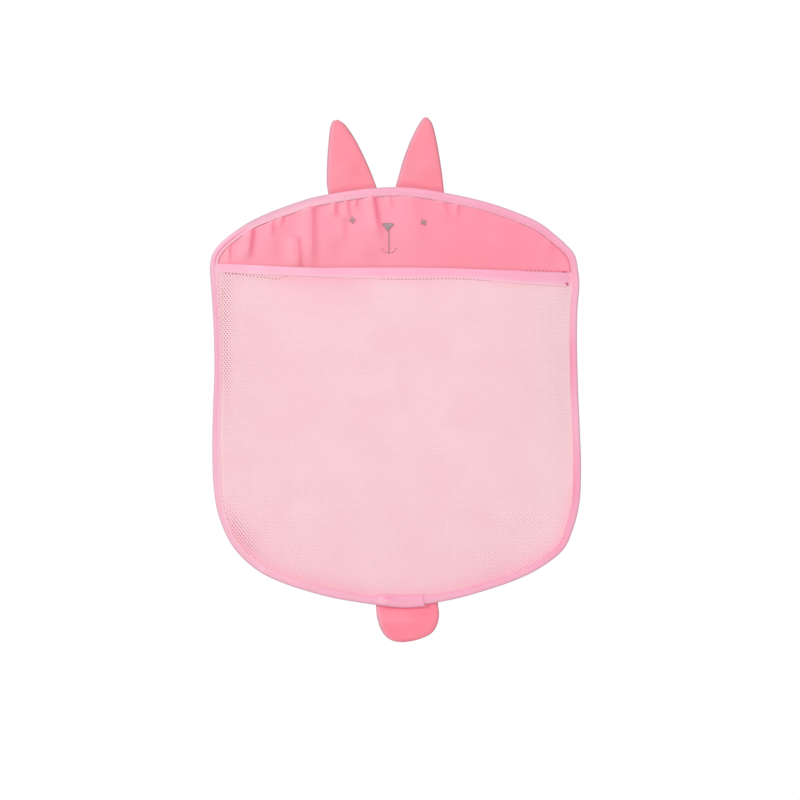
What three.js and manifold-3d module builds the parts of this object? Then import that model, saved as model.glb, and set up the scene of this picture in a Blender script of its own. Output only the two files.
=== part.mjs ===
import * as THREE from 'three';
import { mergeVertices } from 'three/addons/utils/BufferGeometryUtils.js';
import Module from 'manifold-3d';

// A rabbit-shaped net bag for bath toys that hangs on two suction hooks.
// X runs across the bag, Z runs up, and the wall is the plane Y = 0 behind it, so the front faces -Y.
// The origin lies on the wall, halfway between the two suction cups. All lengths are in millimetres.

// Bag
const bagWidth = 350;
const bagHeight = 397;
const crestRise = 62; // top edge of the bag above the cups' centres
const clothThickness = 0.8;
const netThickness = 0.8;
const sewnGap = 0.3; // room between layers that are sewn together
const edgeSlack = 1; // cloth's cut edge to the fold of the binding

// Edge binding and pocket hem
const bindingWidth = 8;
const tapeThickness = 0.8;
const bindingStations = 64;
const cornerMargin = 7; // how far in from the bag's widest line its side edges end
const hemSetback = 4; // hem's ends from the binding's lips
const hemSlack = 0.2; // rise of the tape's fold above its legs
const shoulderShare = 0.6; // depth of the binding's round shoulder beside its half thickness
const turnShare = 0.4; // depth of the binding's outermost turn beside the tape's thickness

// Pocket and its net
const pocketDepth = 19;
const netBar = 2.6; // width of a bar between two gaps
const netBorder = 3; // plain edge beside the binding's lip
const netColumns = 11;
const netRows = 11;
const crowdingShare = 0.25; // how much the columns draw together toward the sides

// Folds of the face panel, drawn in at the binding
const foldHeight = 3.2;
const foldHalfWidth = 7;
const panelColumns = 16; // columns where the panel has no folds

// Embroidery
const threadHeight = 0.7;
const eyeRadius = 3.4;
const noseWidth = 12;
const noseHeight = 8.4;
const noseRound = 1.6;
const strokeWidth = 1.6;
const smileRadius = 4.2;
const smileCutShare = 0.08; // part of a half turn that each end of the smile stops short
const eyeWaistShare = 0.45; // an eye's narrow radius beside its wide one

// Ears and tail
const flapSeamHalf = 0.95; // half of the thickness at a flap's sewn edge
const paddingLoft = 2.6; // how far the wadding swells each skin
const flapSeat = 0.35; // flap's base above the binding
const swellShare = 0.45; // part of a flap's height over which it swells from its thin base
const taperShare = 0.7; // part of a flap's height where it starts to thin toward the tip
const paddingInsetShare = 0.14; // wadding's edge inside the flap's edge
const leftEarWidth = 44.4;
const leftEarHeight = 66.5;
const leftEarReach = 61.9; // from the bag's middle to the ear's outer corner
const rightEarWidth = 45.7;
const rightEarHeight = 67.2;
const rightEarReach = 46.4;
const tailWidth = 59.6;
const tailHeight = 34;
const tailReach = 18; // from the bag's middle to the tail's left corner

// Steps across and up a flap
const flapColumns = 6;
const flapRows = 10;

// Hanging hardware
const cupSpacing = 190;
const cupRadius = 22;
const cupDepth = 9;
const cupWall = 1.4;
const neckRadius = 5;
const capRadius = 9.5;
const capThickness = 7;
const roundSides = 20; // flats round a cup or a cap
const capBore = 4; // depth of the socket that the cup's neck is pressed into
const capEdgeShare = 0.2; // chamfer of the cap beside its thickness
const fitClearance = 0.3;
const rodRadius = 2.2;
const rodReach = 6.5; // straight arm in front of the cap
const rodBend = 4;
const rodTip = 5; // upright end above the bend
const rodDrop = 4; // arm below the cup's centre
const swingRoom = 5.5; // hook's tip to the back of the bag

// Hang loops
const loopTape = 8; // width of the tape
const loopTapeThickness = 1.5;
const loopInnerRadius = 7;
const loopLeg = 36; // arch centre to the tape's sewn end
const loopStraight = 6; // upright part of a leg below the arch
const loopSewn = 12; // flat part that is stitched to the bag

// Outline of the bag as shares of half its width and of its height, clockwise from the crest
const outlineShares = [
  [0, 0], [0.36, 0.02], [0.605, 0.05], [0.81, 0.093], [0.93, 0.136], [0.98, 0.182],
  [0.99, 0.26], [0.984, 0.364], [0.99, 0.48], [1, 0.6], [1, 0.693], [0.98, 0.785],
  [0.92, 0.857], [0.79, 0.91], [0.568, 0.951], [0.33, 0.981], [0.03, 1], [-0.33, 0.98],
  [-0.568, 0.95], [-0.768, 0.907], [-0.885, 0.853], [-0.962, 0.779], [-0.99, 0.693],
  [-0.995, 0.579], [-0.985, 0.47], [-0.984, 0.364], [-0.992, 0.25], [-0.99, 0.182],
  [-0.945, 0.136], [-0.83, 0.09], [-0.62, 0.047], [-0.38, 0.017],
];

// The pocket's mouth: how far down the bag the hem's edges lie, at the left, the middle and the right
const hemTopShares = [0.183, 0.193, 0.202];
const hemBottomShares = [0.206, 0.219, 0.235];

// Where each fold lies across half the bag's width, and its height as a share of the fold height
const foldShares = [
  [-0.9, 0.7], [-0.74, 1], [-0.51, 0.55], [-0.42, 0.8], [-0.3, 1], [-0.115, 0.75], [0.36, 0.4], [0.56, 0.45],
];

// Edges of a flap from base to tip: across its width and up its height
const leftEarShares = {
  left: [[0, 0], [-0.07, 0.15], [-0.053, 0.42], [-0.03, 0.65], [-0.005, 0.88], [0.06, 0.985]],
  right: [[1, 0], [0.93, 0.2], [0.77, 0.45], [0.56, 0.72], [0.35, 0.925], [0.17, 1]],
};
const rightEarShares = {
  left: [[0, 0], [0.04, 0.23], [0.13, 0.42], [0.275, 0.67], [0.45, 0.91], [0.585, 1]],
  right: [[1, 0], [0.97, 0.2], [0.91, 0.44], [0.845, 0.7], [0.76, 0.91], [0.65, 1]],
};
const tailShares = {
  left: [[0, 0], [0, 0.25], [0, 0.6], [0.07, 0.79], [0.22, 0.95], [0.36, 1]],
  right: [[1, 0], [1, 0.3], [0.965, 0.6], [0.88, 0.79], [0.63, 0.95], [0.44, 1]],
};

// Profiles of a suction cup as shares of its radius and depth: its hollow, and its outside from rim to neck
const hollowShares = [[0, 0.5], [0.45, 0.42], [0.8, 0.2]];
const domeShares = [[0.84, 0.42], [0.5, 0.78], [0.3, 1]];

// Places of the embroidery across half the bag's width and down its height
const leftEyeShares = [-0.23, 0.079];
const rightEyeShares = [0.154, 0.084];
const noseShares = [-0.038, 0.094];
const mouthShares = [-0.033, 0.155];

// Share of a side's length between its corner and the first row inside the binding's lip
const rimStartShare = 0.03;

// Values worked out from the sizes above
const halfWidth = bagWidth / 2;
const capBack = -(cupDepth + sewnGap);
const capFront = capBack - capThickness;
const tipCentre = capFront - rodReach - rodBend;
const valleyFloor = rodRadius - rodDrop;
const panelBack = tipCentre - rodRadius - swingRoom;
const bagPlane = panelBack - sewnGap / 2 - clothThickness;
const grooveHalf = sewnGap / 2 + netThickness + sewnGap;
const bindingHalf = grooveHalf + tapeThickness;
const edgeInset = tapeThickness + edgeSlack;
const lip = bindingWidth + netBorder;
const stemLength = (mouthShares[1] - noseShares[1]) * bagHeight - noseHeight - sewnGap;

const wasm = await Module();
wasm.setup();

// A closed solid from a sheet: each pair holds a point of the outer face and one of the inner face.
function sheetSolid(pairs, triangles) {
  const count = pairs.length;
  const positions = [];
  for (const side of ['outer', 'inner']) {
    for (const pair of pairs) {
      positions.push(pair[side].x, pair[side].y, pair[side].z);
    }
  }
  const edges = new Map();
  const index = [];
  for (const [a, b, c] of triangles) {
    index.push(a, b, c, c + count, b + count, a + count);
    for (const [p, q] of [[a, b], [b, c], [c, a]]) {
      if (!edges.delete(`${q}_${p}`)) {
        edges.set(`${p}_${q}`, [p, q]);
      }
    }
  }
  for (const [p, q] of edges.values()) {
    index.push(p, p + count, q + count, p, q + count, q);
  }
  const geometry = new THREE.BufferGeometry();
  geometry.setAttribute('position', new THREE.Float32BufferAttribute(positions, 3));
  geometry.setIndex(index);
  geometry.computeVertexNormals();
  return geometry;
}

// The two triangles of each cell of a grid that has this many cells across and up.
function gridTriangles(across, up, closed = false) {
  const stride = closed ? across : across + 1;
  const triangles = [];
  for (let row = 0; row < up; row += 1) {
    for (let column = 0; column < across; column += 1) {
      const next = closed ? (column + 1) % across : column + 1;
      const a = row * stride + column;
      const b = row * stride + next;
      triangles.push([a, b, b + stride], [a, b + stride, a + stride]);
    }
  }
  return triangles;
}

// A point of a cloth layer: its place on the bag and the depths of its two faces.
function clothPair(x, z, front, back) {
  return { outer: new THREE.Vector3(x, front, z), inner: new THREE.Vector3(x, back, z) };
}

function spaced(count) {
  return Array.from({ length: count + 1 }, (_, step) => step / count);
}

function smooth(low, high, value) {
  const share = THREE.MathUtils.clamp((value - low) / (high - low), 0, 1);
  return share * share * (3 - 2 * share);
}

// The bag's outer edge as one closed curve in the XZ plane.
const outline = new THREE.CatmullRomCurve3(
  outlineShares.map(([across, down]) => {
    const z = crestRise - down * bagHeight;
    return new THREE.Vector3(across * halfWidth, 0, z);
  }),
  true,
  'centripetal',
);

// Points of the outline moved inward by a distance.
function insetOutline(count, distance) {
  return Array.from({ length: count }, (_, step) => {
    const share = step / count;
    const place = outline.getPoint(share);
    const along = outline.getTangent(share);
    return new THREE.Vector3(place.x + along.z * distance, 0, place.z - along.x * distance);
  });
}

const insetSamples = 360;

// Heights where a vertical line meets the inset outline.
function crossings(points, x) {
  const heights = [];
  points.forEach((start, index) => {
    const end = points[(index + 1) % points.length];
    if ((start.x <= x) !== (end.x <= x)) {
      heights.push(start.z + ((x - start.x) / (end.x - start.x)) * (end.z - start.z));
    }
  });
  return { low: Math.min(...heights), high: Math.max(...heights) };
}

const rimLine = insetOutline(insetSamples, 0);
const edgeLine = insetOutline(insetSamples, edgeInset);
const lipLine = insetOutline(insetSamples, lip);

// Where a level line meets the inset outline on one side of the bag.
function sideAt(points, z, side) {
  const places = [];
  points.forEach((start, index) => {
    const end = points[(index + 1) % points.length];
    if ((start.z <= z) !== (end.z <= z)) {
      places.push(start.x + ((z - start.z) / (end.z - start.z)) * (end.x - start.x));
    }
  });
  return side < 0 ? Math.min(...places) : Math.max(...places);
}

function reach(points) {
  return { left: Math.min(...points.map((p) => p.x)), right: Math.max(...points.map((p) => p.x)) };
}

// A height down the bag that bows from the left through the middle to the right.
function bowed(shares, x) {
  const t = x / halfWidth;
  const [left, middle, right] = shares;
  const share = middle + ((right - left) / 2) * t + ((left + right) / 2 - middle) * t * t;
  return crestRise - share * bagHeight;
}

// Depth of the face panel's folds at a point; they fade out down to the pocket's mouth.
function foldDepth(x, z, top) {
  const mouth = bowed(hemTopShares, x);
  if (top <= mouth) {
    return 0;
  }
  const fade = smooth(mouth, top, z);
  let depth = 0;
  for (const [across, size] of foldShares) {
    const offset = Math.abs(x - across * halfWidth) / foldHalfWidth;
    depth = Math.max(depth, size * Math.max(0, 1 - offset));
  }
  return depth * fade * foldHeight;
}

// The two columns of points that follow a side of the bag: the cut edge and the binding's lip.
function sideColumn(points, side, topLimit) {
  const ends = reach(points);
  const corner = side < 0 ? ends.left + cornerMargin : ends.right - cornerMargin;
  const { low, high } = crossings(points, corner);
  const top = topLimit ? topLimit(corner) : high;
  return (share) => {
    const z = THREE.MathUtils.lerp(low, top, share);
    const onCorner = share <= 0 || (share >= 1 && !topLimit);
    return { x: onCorner ? corner : sideAt(points, z, side), z };
  };
}

// Places of the face panel's columns between the lips: three to a fold, and evenly elsewhere.
function panelPlaces() {
  const { left, right } = reach(lipLine);
  const first = left + cornerMargin + foldHalfWidth / 2;
  const last = right - cornerMargin - foldHalfWidth / 2;
  const places = [];
  for (const [across] of foldShares) {
    for (const side of [-1, 0, 1]) {
      places.push(across * halfWidth + side * foldHalfWidth);
    }
  }
  for (const share of spaced(panelColumns)) {
    const x = THREE.MathUtils.lerp(first, last, share);
    if (places.every((place) => Math.abs(place - x) > foldHalfWidth)) {
      places.push(x);
    }
  }
  return places.filter((x) => x >= first && x <= last).sort((a, b) => a - b);
}

// The cloth back of the bag, flat in the binding, with its folds below the crest.
function backPanel() {
  const lipShares = [0, 0.2, 0.42, 0.62, 0.72, 0.79, 0.86, 0.93, 1];
  const places = panelPlaces();
  const back = bagPlane + sewnGap / 2 + clothThickness;
  const flat = ({ x, z }) => clothPair(x, z, back - clothThickness, back);
  const pairs = [];
  const rows = [-1, ...lipShares, 2];
  for (const share of rows) {
    const onEdge = share < 0 || share > 1;
    const within = THREE.MathUtils.clamp(share, 0, 1);
    const rimShare = onEdge ? within : THREE.MathUtils.lerp(rimStartShare, 1 - rimStartShare, within);
    const sidePairs = (side) => {
      const lipPoint = sideColumn(lipLine, side)(within);
      const lipPair = flat(onEdge ? lipToEdge(lipPoint, within) : lipPoint);
      return [flat(sideColumn(edgeLine, side)(rimShare)), lipPair];
    };
    pairs.push(...sidePairs(-1));
    for (const x of places) {
      const edge = crossings(edgeLine, x);
      const inner = crossings(lipLine, x);
      if (onEdge) {
        pairs.push(flat({ x, z: share < 0 ? edge.low : edge.high }));
      } else {
        const z = THREE.MathUtils.lerp(inner.low, inner.high, share);
        const fold = share === 0 || share === 1 ? 0 : foldDepth(x, z, inner.high);
        pairs.push(clothPair(x, z, back - clothThickness - fold, back - fold));
      }
    }
    pairs.push(...sidePairs(1).reverse());
  }
  return sheetSolid(pairs, gridTriangles(places.length + 3, rows.length - 1));
}

// The point of the cut edge above or below the corner of the lip line.
function lipToEdge({ x }, within) {
  const edge = crossings(edgeLine, x);
  return { x, z: within > 0 ? edge.high : edge.low };
}

// How far the net stands out, from its place across (-1 to 1) and up (0 to 1) the pocket.
function belly(across, up) {
  const rise = 1 - (1 - up) ** 3;
  return pocketDepth * (1 - Math.min(1, Math.abs(across)) ** 4) * rise;
}

const pocketReach = reach(lipLine.filter((p) => p.z < bowed(hemBottomShares, p.x)));
const gapsTop = (x) => bowed(hemBottomShares, x) + netBorder / 2;
const netTop = (x) => bowed(hemTopShares, x) - edgeInset;

// Columns across the net between the binding's lips, drawn together toward the sides.
function netColumnPlaces() {
  return spaced(netColumns).slice(1, -1).map((share) => {
    const even = share * 2 - 1;
    const across = THREE.MathUtils.lerp(even, Math.sin((even * Math.PI) / 2), crowdingShare);
    return THREE.MathUtils.lerp(pocketReach.left, pocketReach.right, (across + 1) / 2);
  });
}

function acrossPocket(x) {
  return ((x - pocketReach.left) / (pocketReach.right - pocketReach.left)) * 2 - 1;
}

// A point of the net standing out from the bag's plane by the belly at its place.
function netPair({ x, z }, up) {
  const back = bagPlane - sewnGap / 2 - belly(acrossPocket(x), up);
  return clothPair(x, z, back - netThickness, back);
}

// One row of the net's points, from the bottom edge (row 0) up into the hem (the last row).
function netRow(row) {
  const lastRow = netRows + 2;
  const share = THREE.MathUtils.clamp((row - 1) / netRows, 0, 1);
  const inHem = row === lastRow;
  const onEdge = row === 0;
  const side = (points, sign) => {
    const place = sideColumn(points, sign, gapsTop)(share);
    if (inHem) {
      const z = netTop(place.x);
      return { x: sideAt(points, z, sign), z };
    }
    return place;
  };
  const rim = (sign) => {
    const rise = onEdge ? 0 : THREE.MathUtils.lerp(rimStartShare, 1, share);
    const place = sideColumn(edgeLine, sign, gapsTop)(rise);
    return netPair(inHem ? side(edgeLine, sign) : place, 0);
  };
  const lipPoint = (sign) => {
    const place = side(lipLine, sign);
    return netPair(onEdge ? lipToEdge(place, 0) : place, 0);
  };
  const inner = netColumnPlaces().map((x) => {
    const low = crossings(lipLine, x).low;
    let z = THREE.MathUtils.lerp(low, gapsTop(x), share);
    if (onEdge) {
      z = crossings(edgeLine, x).low;
    } else if (inHem) {
      z = netTop(x);
    }
    return netPair({ x, z }, share);
  });
  return [rim(-1), lipPoint(-1), ...inner, lipPoint(1), rim(1)];
}

function mixPair(a, b, share) {
  return { outer: a.outer.clone().lerp(b.outer, share), inner: a.inner.clone().lerp(b.inner, share) };
}

// The two points on a side of a cell where its crossed bars leave the corners.
function sideEnds(pairs, known, from, to) {
  const key = [Math.min(from, to), Math.max(from, to)];
  const name = key.join('_');
  if (!known.has(name)) {
    const [low, high] = key.map((corner) => pairs[corner]);
    const share = (netBar * Math.SQRT1_2) / low.outer.distanceTo(high.outer);
    known.set(name, [pairs.length, pairs.length + 1]);
    pairs.push(mixPair(low, high, share), mixPair(low, high, 1 - share));
  }
  const ends = known.get(name);
  return from < to ? ends : [...ends].reverse();
}

// A cell of the net: two bars that cross, with half of a diamond gap at each side.
function crossedCell(pairs, known, corners) {
  const [a, b, c, d] = corners.map((corner) => pairs[corner]);
  const middle = mixPair(mixPair(a, b, 0.5), mixPair(c, d, 0.5), 0.5);
  const sides = corners.map((corner, step) => sideEnds(pairs, known, corner, corners[(step + 1) % 4]));
  const hub = corners.map((corner, step) => {
    const sideMiddle = mixPair(pairs[corner], pairs[corners[(step + 1) % 4]], 0.5);
    const share = (netBar * Math.SQRT1_2) / middle.outer.distanceTo(sideMiddle.outer);
    pairs.push(mixPair(middle, sideMiddle, share));
    return pairs.length - 1;
  });
  const triangles = [[hub[0], hub[1], hub[2]], [hub[0], hub[2], hub[3]]];
  corners.forEach((corner, step) => {
    const before = (step + 3) % 4;
    const leave = sides[step][0];
    const arrive = sides[before][1];
    triangles.push([arrive, corner, leave], [arrive, leave, hub[step]], [arrive, hub[step], hub[before]]);
  });
  return triangles;
}

// A plain cell, which keeps the points that the crossed cells beside it have on its sides.
function plainCell(pairs, known, corners) {
  const rim = corners.flatMap((corner, step) => {
    const next = corners[(step + 1) % 4];
    const name = [Math.min(corner, next), Math.max(corner, next)].join('_');
    return known.has(name) ? [corner, ...sideEnds(pairs, known, corner, next)] : [corner];
  });
  if (rim.length === 4) {
    return [[rim[0], rim[1], rim[2]], [rim[0], rim[2], rim[3]]];
  }
  const [a, b, c, d] = corners.map((corner) => pairs[corner]);
  pairs.push(mixPair(mixPair(a, b, 0.5), mixPair(c, d, 0.5), 0.5));
  const centre = pairs.length - 1;
  return rim.map((point, step) => [centre, point, rim[(step + 1) % rim.length]]);
}

// The front of the pocket: a net of diamond gaps with a plain edge in the binding and the hem.
function frontNet() {
  const lastRow = netRows + 2;
  const rows = Array.from({ length: lastRow + 1 }, (_, row) => netRow(row));
  const stride = rows[0].length;
  const pairs = rows.flat();
  const known = new Map();
  const plain = [];
  const triangles = [];
  for (let row = 0; row < lastRow; row += 1) {
    for (let column = 0; column < stride - 1; column += 1) {
      const a = row * stride + column;
      const corners = [a, a + 1, a + 1 + stride, a + stride];
      if (row === 0 || row === lastRow - 1 || column === 0 || column === stride - 2) {
        plain.push(corners);
      } else {
        triangles.push(...crossedCell(pairs, known, corners));
      }
    }
  }
  for (const corners of plain) {
    triangles.push(...plainCell(pairs, known, corners));
  }
  return sheetSolid(pairs, triangles);
}

// The tape folded over the net's upper edge, from one lip of the binding to the other.
function pocketHem() {
  const top = netRow(netRows + 2).slice(1, -1).map((pair) => pair.inner);
  const ends = [top[0].x + hemSetback, top.at(-1).x - hemSetback];
  const places = top.filter(({ x }) => x > ends[0] && x < ends[1]);
  const endPlace = (x, outer, next) => outer.clone().lerp(next, (x - outer.x) / (next.x - outer.x));
  const stations = [endPlace(ends[0], top[0], top[1]), ...places, endPlace(ends[1], top.at(-1), top.at(-2))];
  const innerHalf = netThickness / 2 + sewnGap;
  const outerHalf = innerHalf + tapeThickness;
  const pairs = [];
  const folds = [
    [-1, 0], [-1, 0.5], [-1, 1], [0, 1], [1, 1], [1, 0.5], [1, 0],
  ];
  for (const [side, up] of folds) {
    for (const station of stations) {
      const middle = station.y - netThickness / 2;
      const low = bowed(hemBottomShares, station.x);
      const high = bowed(hemTopShares, station.x);
      const rise = THREE.MathUtils.lerp(low, high - tapeThickness - hemSlack, up);
      const crown = side === 0 ? high : rise + (up === 1 ? hemSlack : 0);
      const insideTop = high - tapeThickness;
      const inside = up === 1 ? insideTop : rise;
      pairs.push({
        outer: new THREE.Vector3(station.x, middle + side * outerHalf, crown),
        inner: new THREE.Vector3(station.x, middle + side * innerHalf, inside),
      });
    }
  }
  return sheetSolid(pairs, gridTriangles(stations.length - 1, folds.length - 1));
}

// The bias tape folded round the bag's edge: front leg, rounded edge, back leg.
function edgeBinding() {
  const shoulder = bindingHalf * shoulderShare;
  const turn = tapeThickness * turnShare;
  const insideTurn = tapeThickness + sewnGap / 2;
  const folds = [
    [bindingWidth, -bindingHalf, bindingWidth, -grooveHalf],
    [bindingWidth / 2, -bindingHalf, bindingWidth / 2, -grooveHalf],
    [shoulder, -bindingHalf, insideTurn, -grooveHalf],
    [turn, -shoulder, tapeThickness, -grooveHalf / 2],
    [turn, shoulder, tapeThickness, grooveHalf / 2],
    [shoulder, bindingHalf, insideTurn, grooveHalf],
    [bindingWidth / 2, bindingHalf, bindingWidth / 2, grooveHalf],
    [bindingWidth, bindingHalf, bindingWidth, grooveHalf],
  ];
  const pairs = [];
  for (const [outerDepth, outerStep, innerDepth, innerStep] of folds) {
    const outer = insetOutline(bindingStations, outerDepth);
    const inner = insetOutline(bindingStations, innerDepth);
    outer.forEach((place, step) => {
      pairs.push({
        outer: new THREE.Vector3(place.x, bagPlane + outerStep, place.z),
        inner: new THREE.Vector3(inner[step].x, bagPlane + innerStep, inner[step].z),
      });
    });
  }
  return sheetSolid(pairs, gridTriangles(bindingStations, folds.length - 1, true));
}

// A flap's frame: its base runs straight above (or below) the binding, its edges rise to the tip.
function flapFrame(shares, start, width, height, up) {
  const end = start + width;
  const rim = (x) => (up > 0 ? crossings(rimLine, x).high : crossings(rimLine, x).low);
  const ends = [rim(start), rim(end)];
  const steps = spaced(8).map((share) => rim(start + share * width)
    - THREE.MathUtils.lerp(ends[0], ends[1], share));
  const bow = up > 0 ? Math.max(...steps) : Math.min(...steps);
  const base = (x) => THREE.MathUtils.lerp(ends[0], ends[1], (x - start) / width) + bow + up * flapSeat;
  const tip = base(start + width / 2) + up * height;
  const curve = (points) => new THREE.SplineCurve(points.map((point) => new THREE.Vector2(...point)));
  return { start, width, base, tip, up, left: curve(shares.left), right: curve(shares.right) };
}

// A layer of a flap between two half thicknesses, on the front (-1) or the back (1).
function flapLayer(frame, columns, rows, inset, near, far, side) {
  const pairs = [];
  for (const share of spaced(rows)) {
    const rise = THREE.MathUtils.lerp(inset, 1 - inset, share);
    const left = frame.left.getPoint(rise);
    const right = frame.right.getPoint(rise);
    for (const across of spaced(columns)) {
      const along = THREE.MathUtils.lerp(inset, 1 - inset, across);
      const x = frame.start + frame.width * THREE.MathUtils.lerp(left.x, right.x, along);
      const height = THREE.MathUtils.lerp(left.y, right.y, along);
      const z = THREE.MathUtils.lerp(frame.base(x), frame.tip, height);
      const u = along * 2 - 1;
      const taper = 1 - smooth(taperShare, 1, rise);
      const swell = (1 - u ** 4) * smooth(0, swellShare, rise) * taper;
      pairs.push(clothPair(x, z, bagPlane + side * near(swell), bagPlane + side * far(swell)));
    }
  }
  const triangles = gridTriangles(columns, rows);
  const flipped = frame.up * side > 0;
  return sheetSolid(pairs, flipped ? triangles.map(([a, b, c]) => [a, c, b]) : triangles);
}

function flapSkin(frame, side) {
  const outside = (swell) => flapSeamHalf + paddingLoft * swell;
  const inside = (swell) => sewnGap / 2 + paddingLoft * swell;
  return flapLayer(frame, flapColumns, flapRows, 0, outside, inside, side);
}

// The wadding between a flap's skins.
function flapPadding(frame) {
  const thickness = (swell) => Math.max(sewnGap / 2, paddingLoft * swell - sewnGap);
  const farFace = (swell) => -thickness(swell);
  return flapLayer(frame, flapColumns, flapRows - 2, paddingInsetShare, thickness, farFace, -1);
}

// A manifold solid from a closed geometry.
function toManifold(geometry) {
  const bare = geometry.clone();
  bare.deleteAttribute('normal');
  bare.deleteAttribute('uv');
  const merged = mergeVertices(bare);
  const mesh = new wasm.Mesh({
    numProp: 3,
    vertProperties: new Float32Array(merged.attributes.position.array),
    triVerts: new Uint32Array(merged.index.array),
  });
  return new wasm.Manifold(mesh);
}

function fromManifold(solid) {
  const { vertProperties, triVerts } = solid.getMesh();
  const geometry = new THREE.BufferGeometry();
  geometry.setAttribute('position', new THREE.BufferAttribute(vertProperties, 3));
  geometry.setIndex(new THREE.BufferAttribute(triVerts, 1));
  geometry.computeVertexNormals();
  return geometry;
}

function joined(geometries) {
  return fromManifold(geometries.map(toManifold).reduce((sum, solid) => sum.add(solid)));
}

// A flat figure, drawn across and up, turned to stand in the face panel's plane.
function figure(shape, curveSegments = 6) {
  const settings = { depth: threadHeight, bevelEnabled: false, curveSegments };
  const geometry = new THREE.ExtrudeGeometry(shape, settings);
  geometry.rotateX(Math.PI / 2);
  return geometry;
}

// An eye: a small four-armed stitch.
function eyeShape() {
  const shape = new THREE.Shape();
  const waist = eyeRadius * eyeWaistShare;
  for (let step = 0; step < 8; step += 1) {
    const radius = step % 2 === 0 ? eyeRadius : waist;
    const angle = (step * Math.PI) / 4;
    const place = [radius * Math.cos(angle), radius * Math.sin(angle)];
    if (step === 0) {
      shape.moveTo(...place);
    } else {
      shape.lineTo(...place);
    }
  }
  shape.closePath();
  return shape;
}

// The nose: a triangle that points down, with round corners.
function noseShape() {
  const corners = [[-noseWidth / 2, 0], [0, -noseHeight], [noseWidth / 2, 0]];
  const points = corners.map(([x, z]) => new THREE.Vector2(x, z));
  const shape = new THREE.Shape();
  points.forEach((corner, step) => {
    const before = points[(step + 2) % 3];
    const after = points[(step + 1) % 3];
    const enter = corner.clone().add(before.clone().sub(corner).setLength(noseRound));
    const leave = corner.clone().add(after.clone().sub(corner).setLength(noseRound));
    if (step === 0) {
      shape.moveTo(enter.x, enter.y);
    } else {
      shape.lineTo(enter.x, enter.y);
    }
    shape.quadraticCurveTo(corner.x, corner.y, leave.x, leave.y);
  });
  shape.closePath();
  return shape;
}

// One half of the smile, a curved stroke that hangs from the stem on the left (-1) or the right (1).
function smileHalf(side) {
  const shape = new THREE.Shape();
  const outer = smileRadius + strokeWidth / 2;
  const inner = smileRadius - strokeWidth / 2;
  const from = side < 0 ? Math.PI * (1 + smileCutShare) : Math.PI;
  const to = side < 0 ? Math.PI * 2 : Math.PI * (2 - smileCutShare);
  shape.absarc(side * smileRadius, 0, outer, from, to, false);
  shape.absarc(side * smileRadius, 0, inner, to, from, true);
  shape.closePath();
  return shape;
}

function stemShape() {
  const shape = new THREE.Shape();
  shape.moveTo(-strokeWidth / 2, -strokeWidth);
  shape.lineTo(strokeWidth / 2, -strokeWidth);
  shape.lineTo(strokeWidth / 2, stemLength);
  shape.lineTo(-strokeWidth / 2, stemLength);
  shape.closePath();
  return shape;
}

function mouthGeometry() {
  return joined([stemShape(), smileHalf(-1), smileHalf(1)].map((shape) => figure(shape)));
}

// The moulded suction cup, turned about the Y axis, with the neck that the hook cap is pressed on.
function suctionCup() {
  const neckEnd = cupDepth + sewnGap + capBore - fitClearance;
  const profile = [
    ...hollowShares.map(([out, deep]) => [out * cupRadius, deep * cupDepth]),
    [cupRadius - cupWall, 0], [cupRadius, 0], [cupRadius, cupWall / 2],
    ...domeShares.map(([out, deep]) => [out * cupRadius, deep * cupDepth]),
    [neckRadius, cupDepth], [neckRadius, neckEnd], [0, neckEnd],
  ];
  const geometry = new THREE.LatheGeometry(profile.map(([r, y]) => new THREE.Vector2(r, y)), roundSides);
  return joined([geometry]);
}

// The clear hook: a round cap with a socket for the cup's neck, and an upturned rod in front.
function hook() {
  const socket = capBore + fitClearance;
  const bore = neckRadius + fitClearance;
  const edge = capThickness * capEdgeShare;
  const profile = [
    [0, socket], [bore, socket], [bore, 0], [capRadius - edge, 0], [capRadius, edge],
    [capRadius, capThickness - edge], [capRadius - edge, capThickness], [0, capThickness],
  ];
  const cap = new THREE.LatheGeometry(profile.map(([r, y]) => new THREE.Vector2(r, y)), roundSides);
  cap.translate(0, -capBack, 0);
  const path = new THREE.CurvePath();
  const start = new THREE.Vector3(0, -capFront - rodRadius, -rodDrop);
  const bendStart = new THREE.Vector3(0, -capFront + rodReach, -rodDrop);
  const corner = new THREE.Vector3(0, -tipCentre, -rodDrop);
  const bendEnd = new THREE.Vector3(0, -tipCentre, rodBend - rodDrop);
  const end = new THREE.Vector3(0, -tipCentre, rodBend - rodDrop + rodTip);
  path.add(new THREE.LineCurve3(start, bendStart));
  path.add(new THREE.QuadraticBezierCurve3(bendStart, corner, bendEnd));
  path.add(new THREE.LineCurve3(bendEnd, end));
  const section = new THREE.Shape().absarc(0, 0, rodRadius, 0, Math.PI * 2, false);
  const rod = new THREE.ExtrudeGeometry(section, { steps: 16, curveSegments: 5, extrudePath: path });
  return joined([cap, rod]);
}

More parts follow.
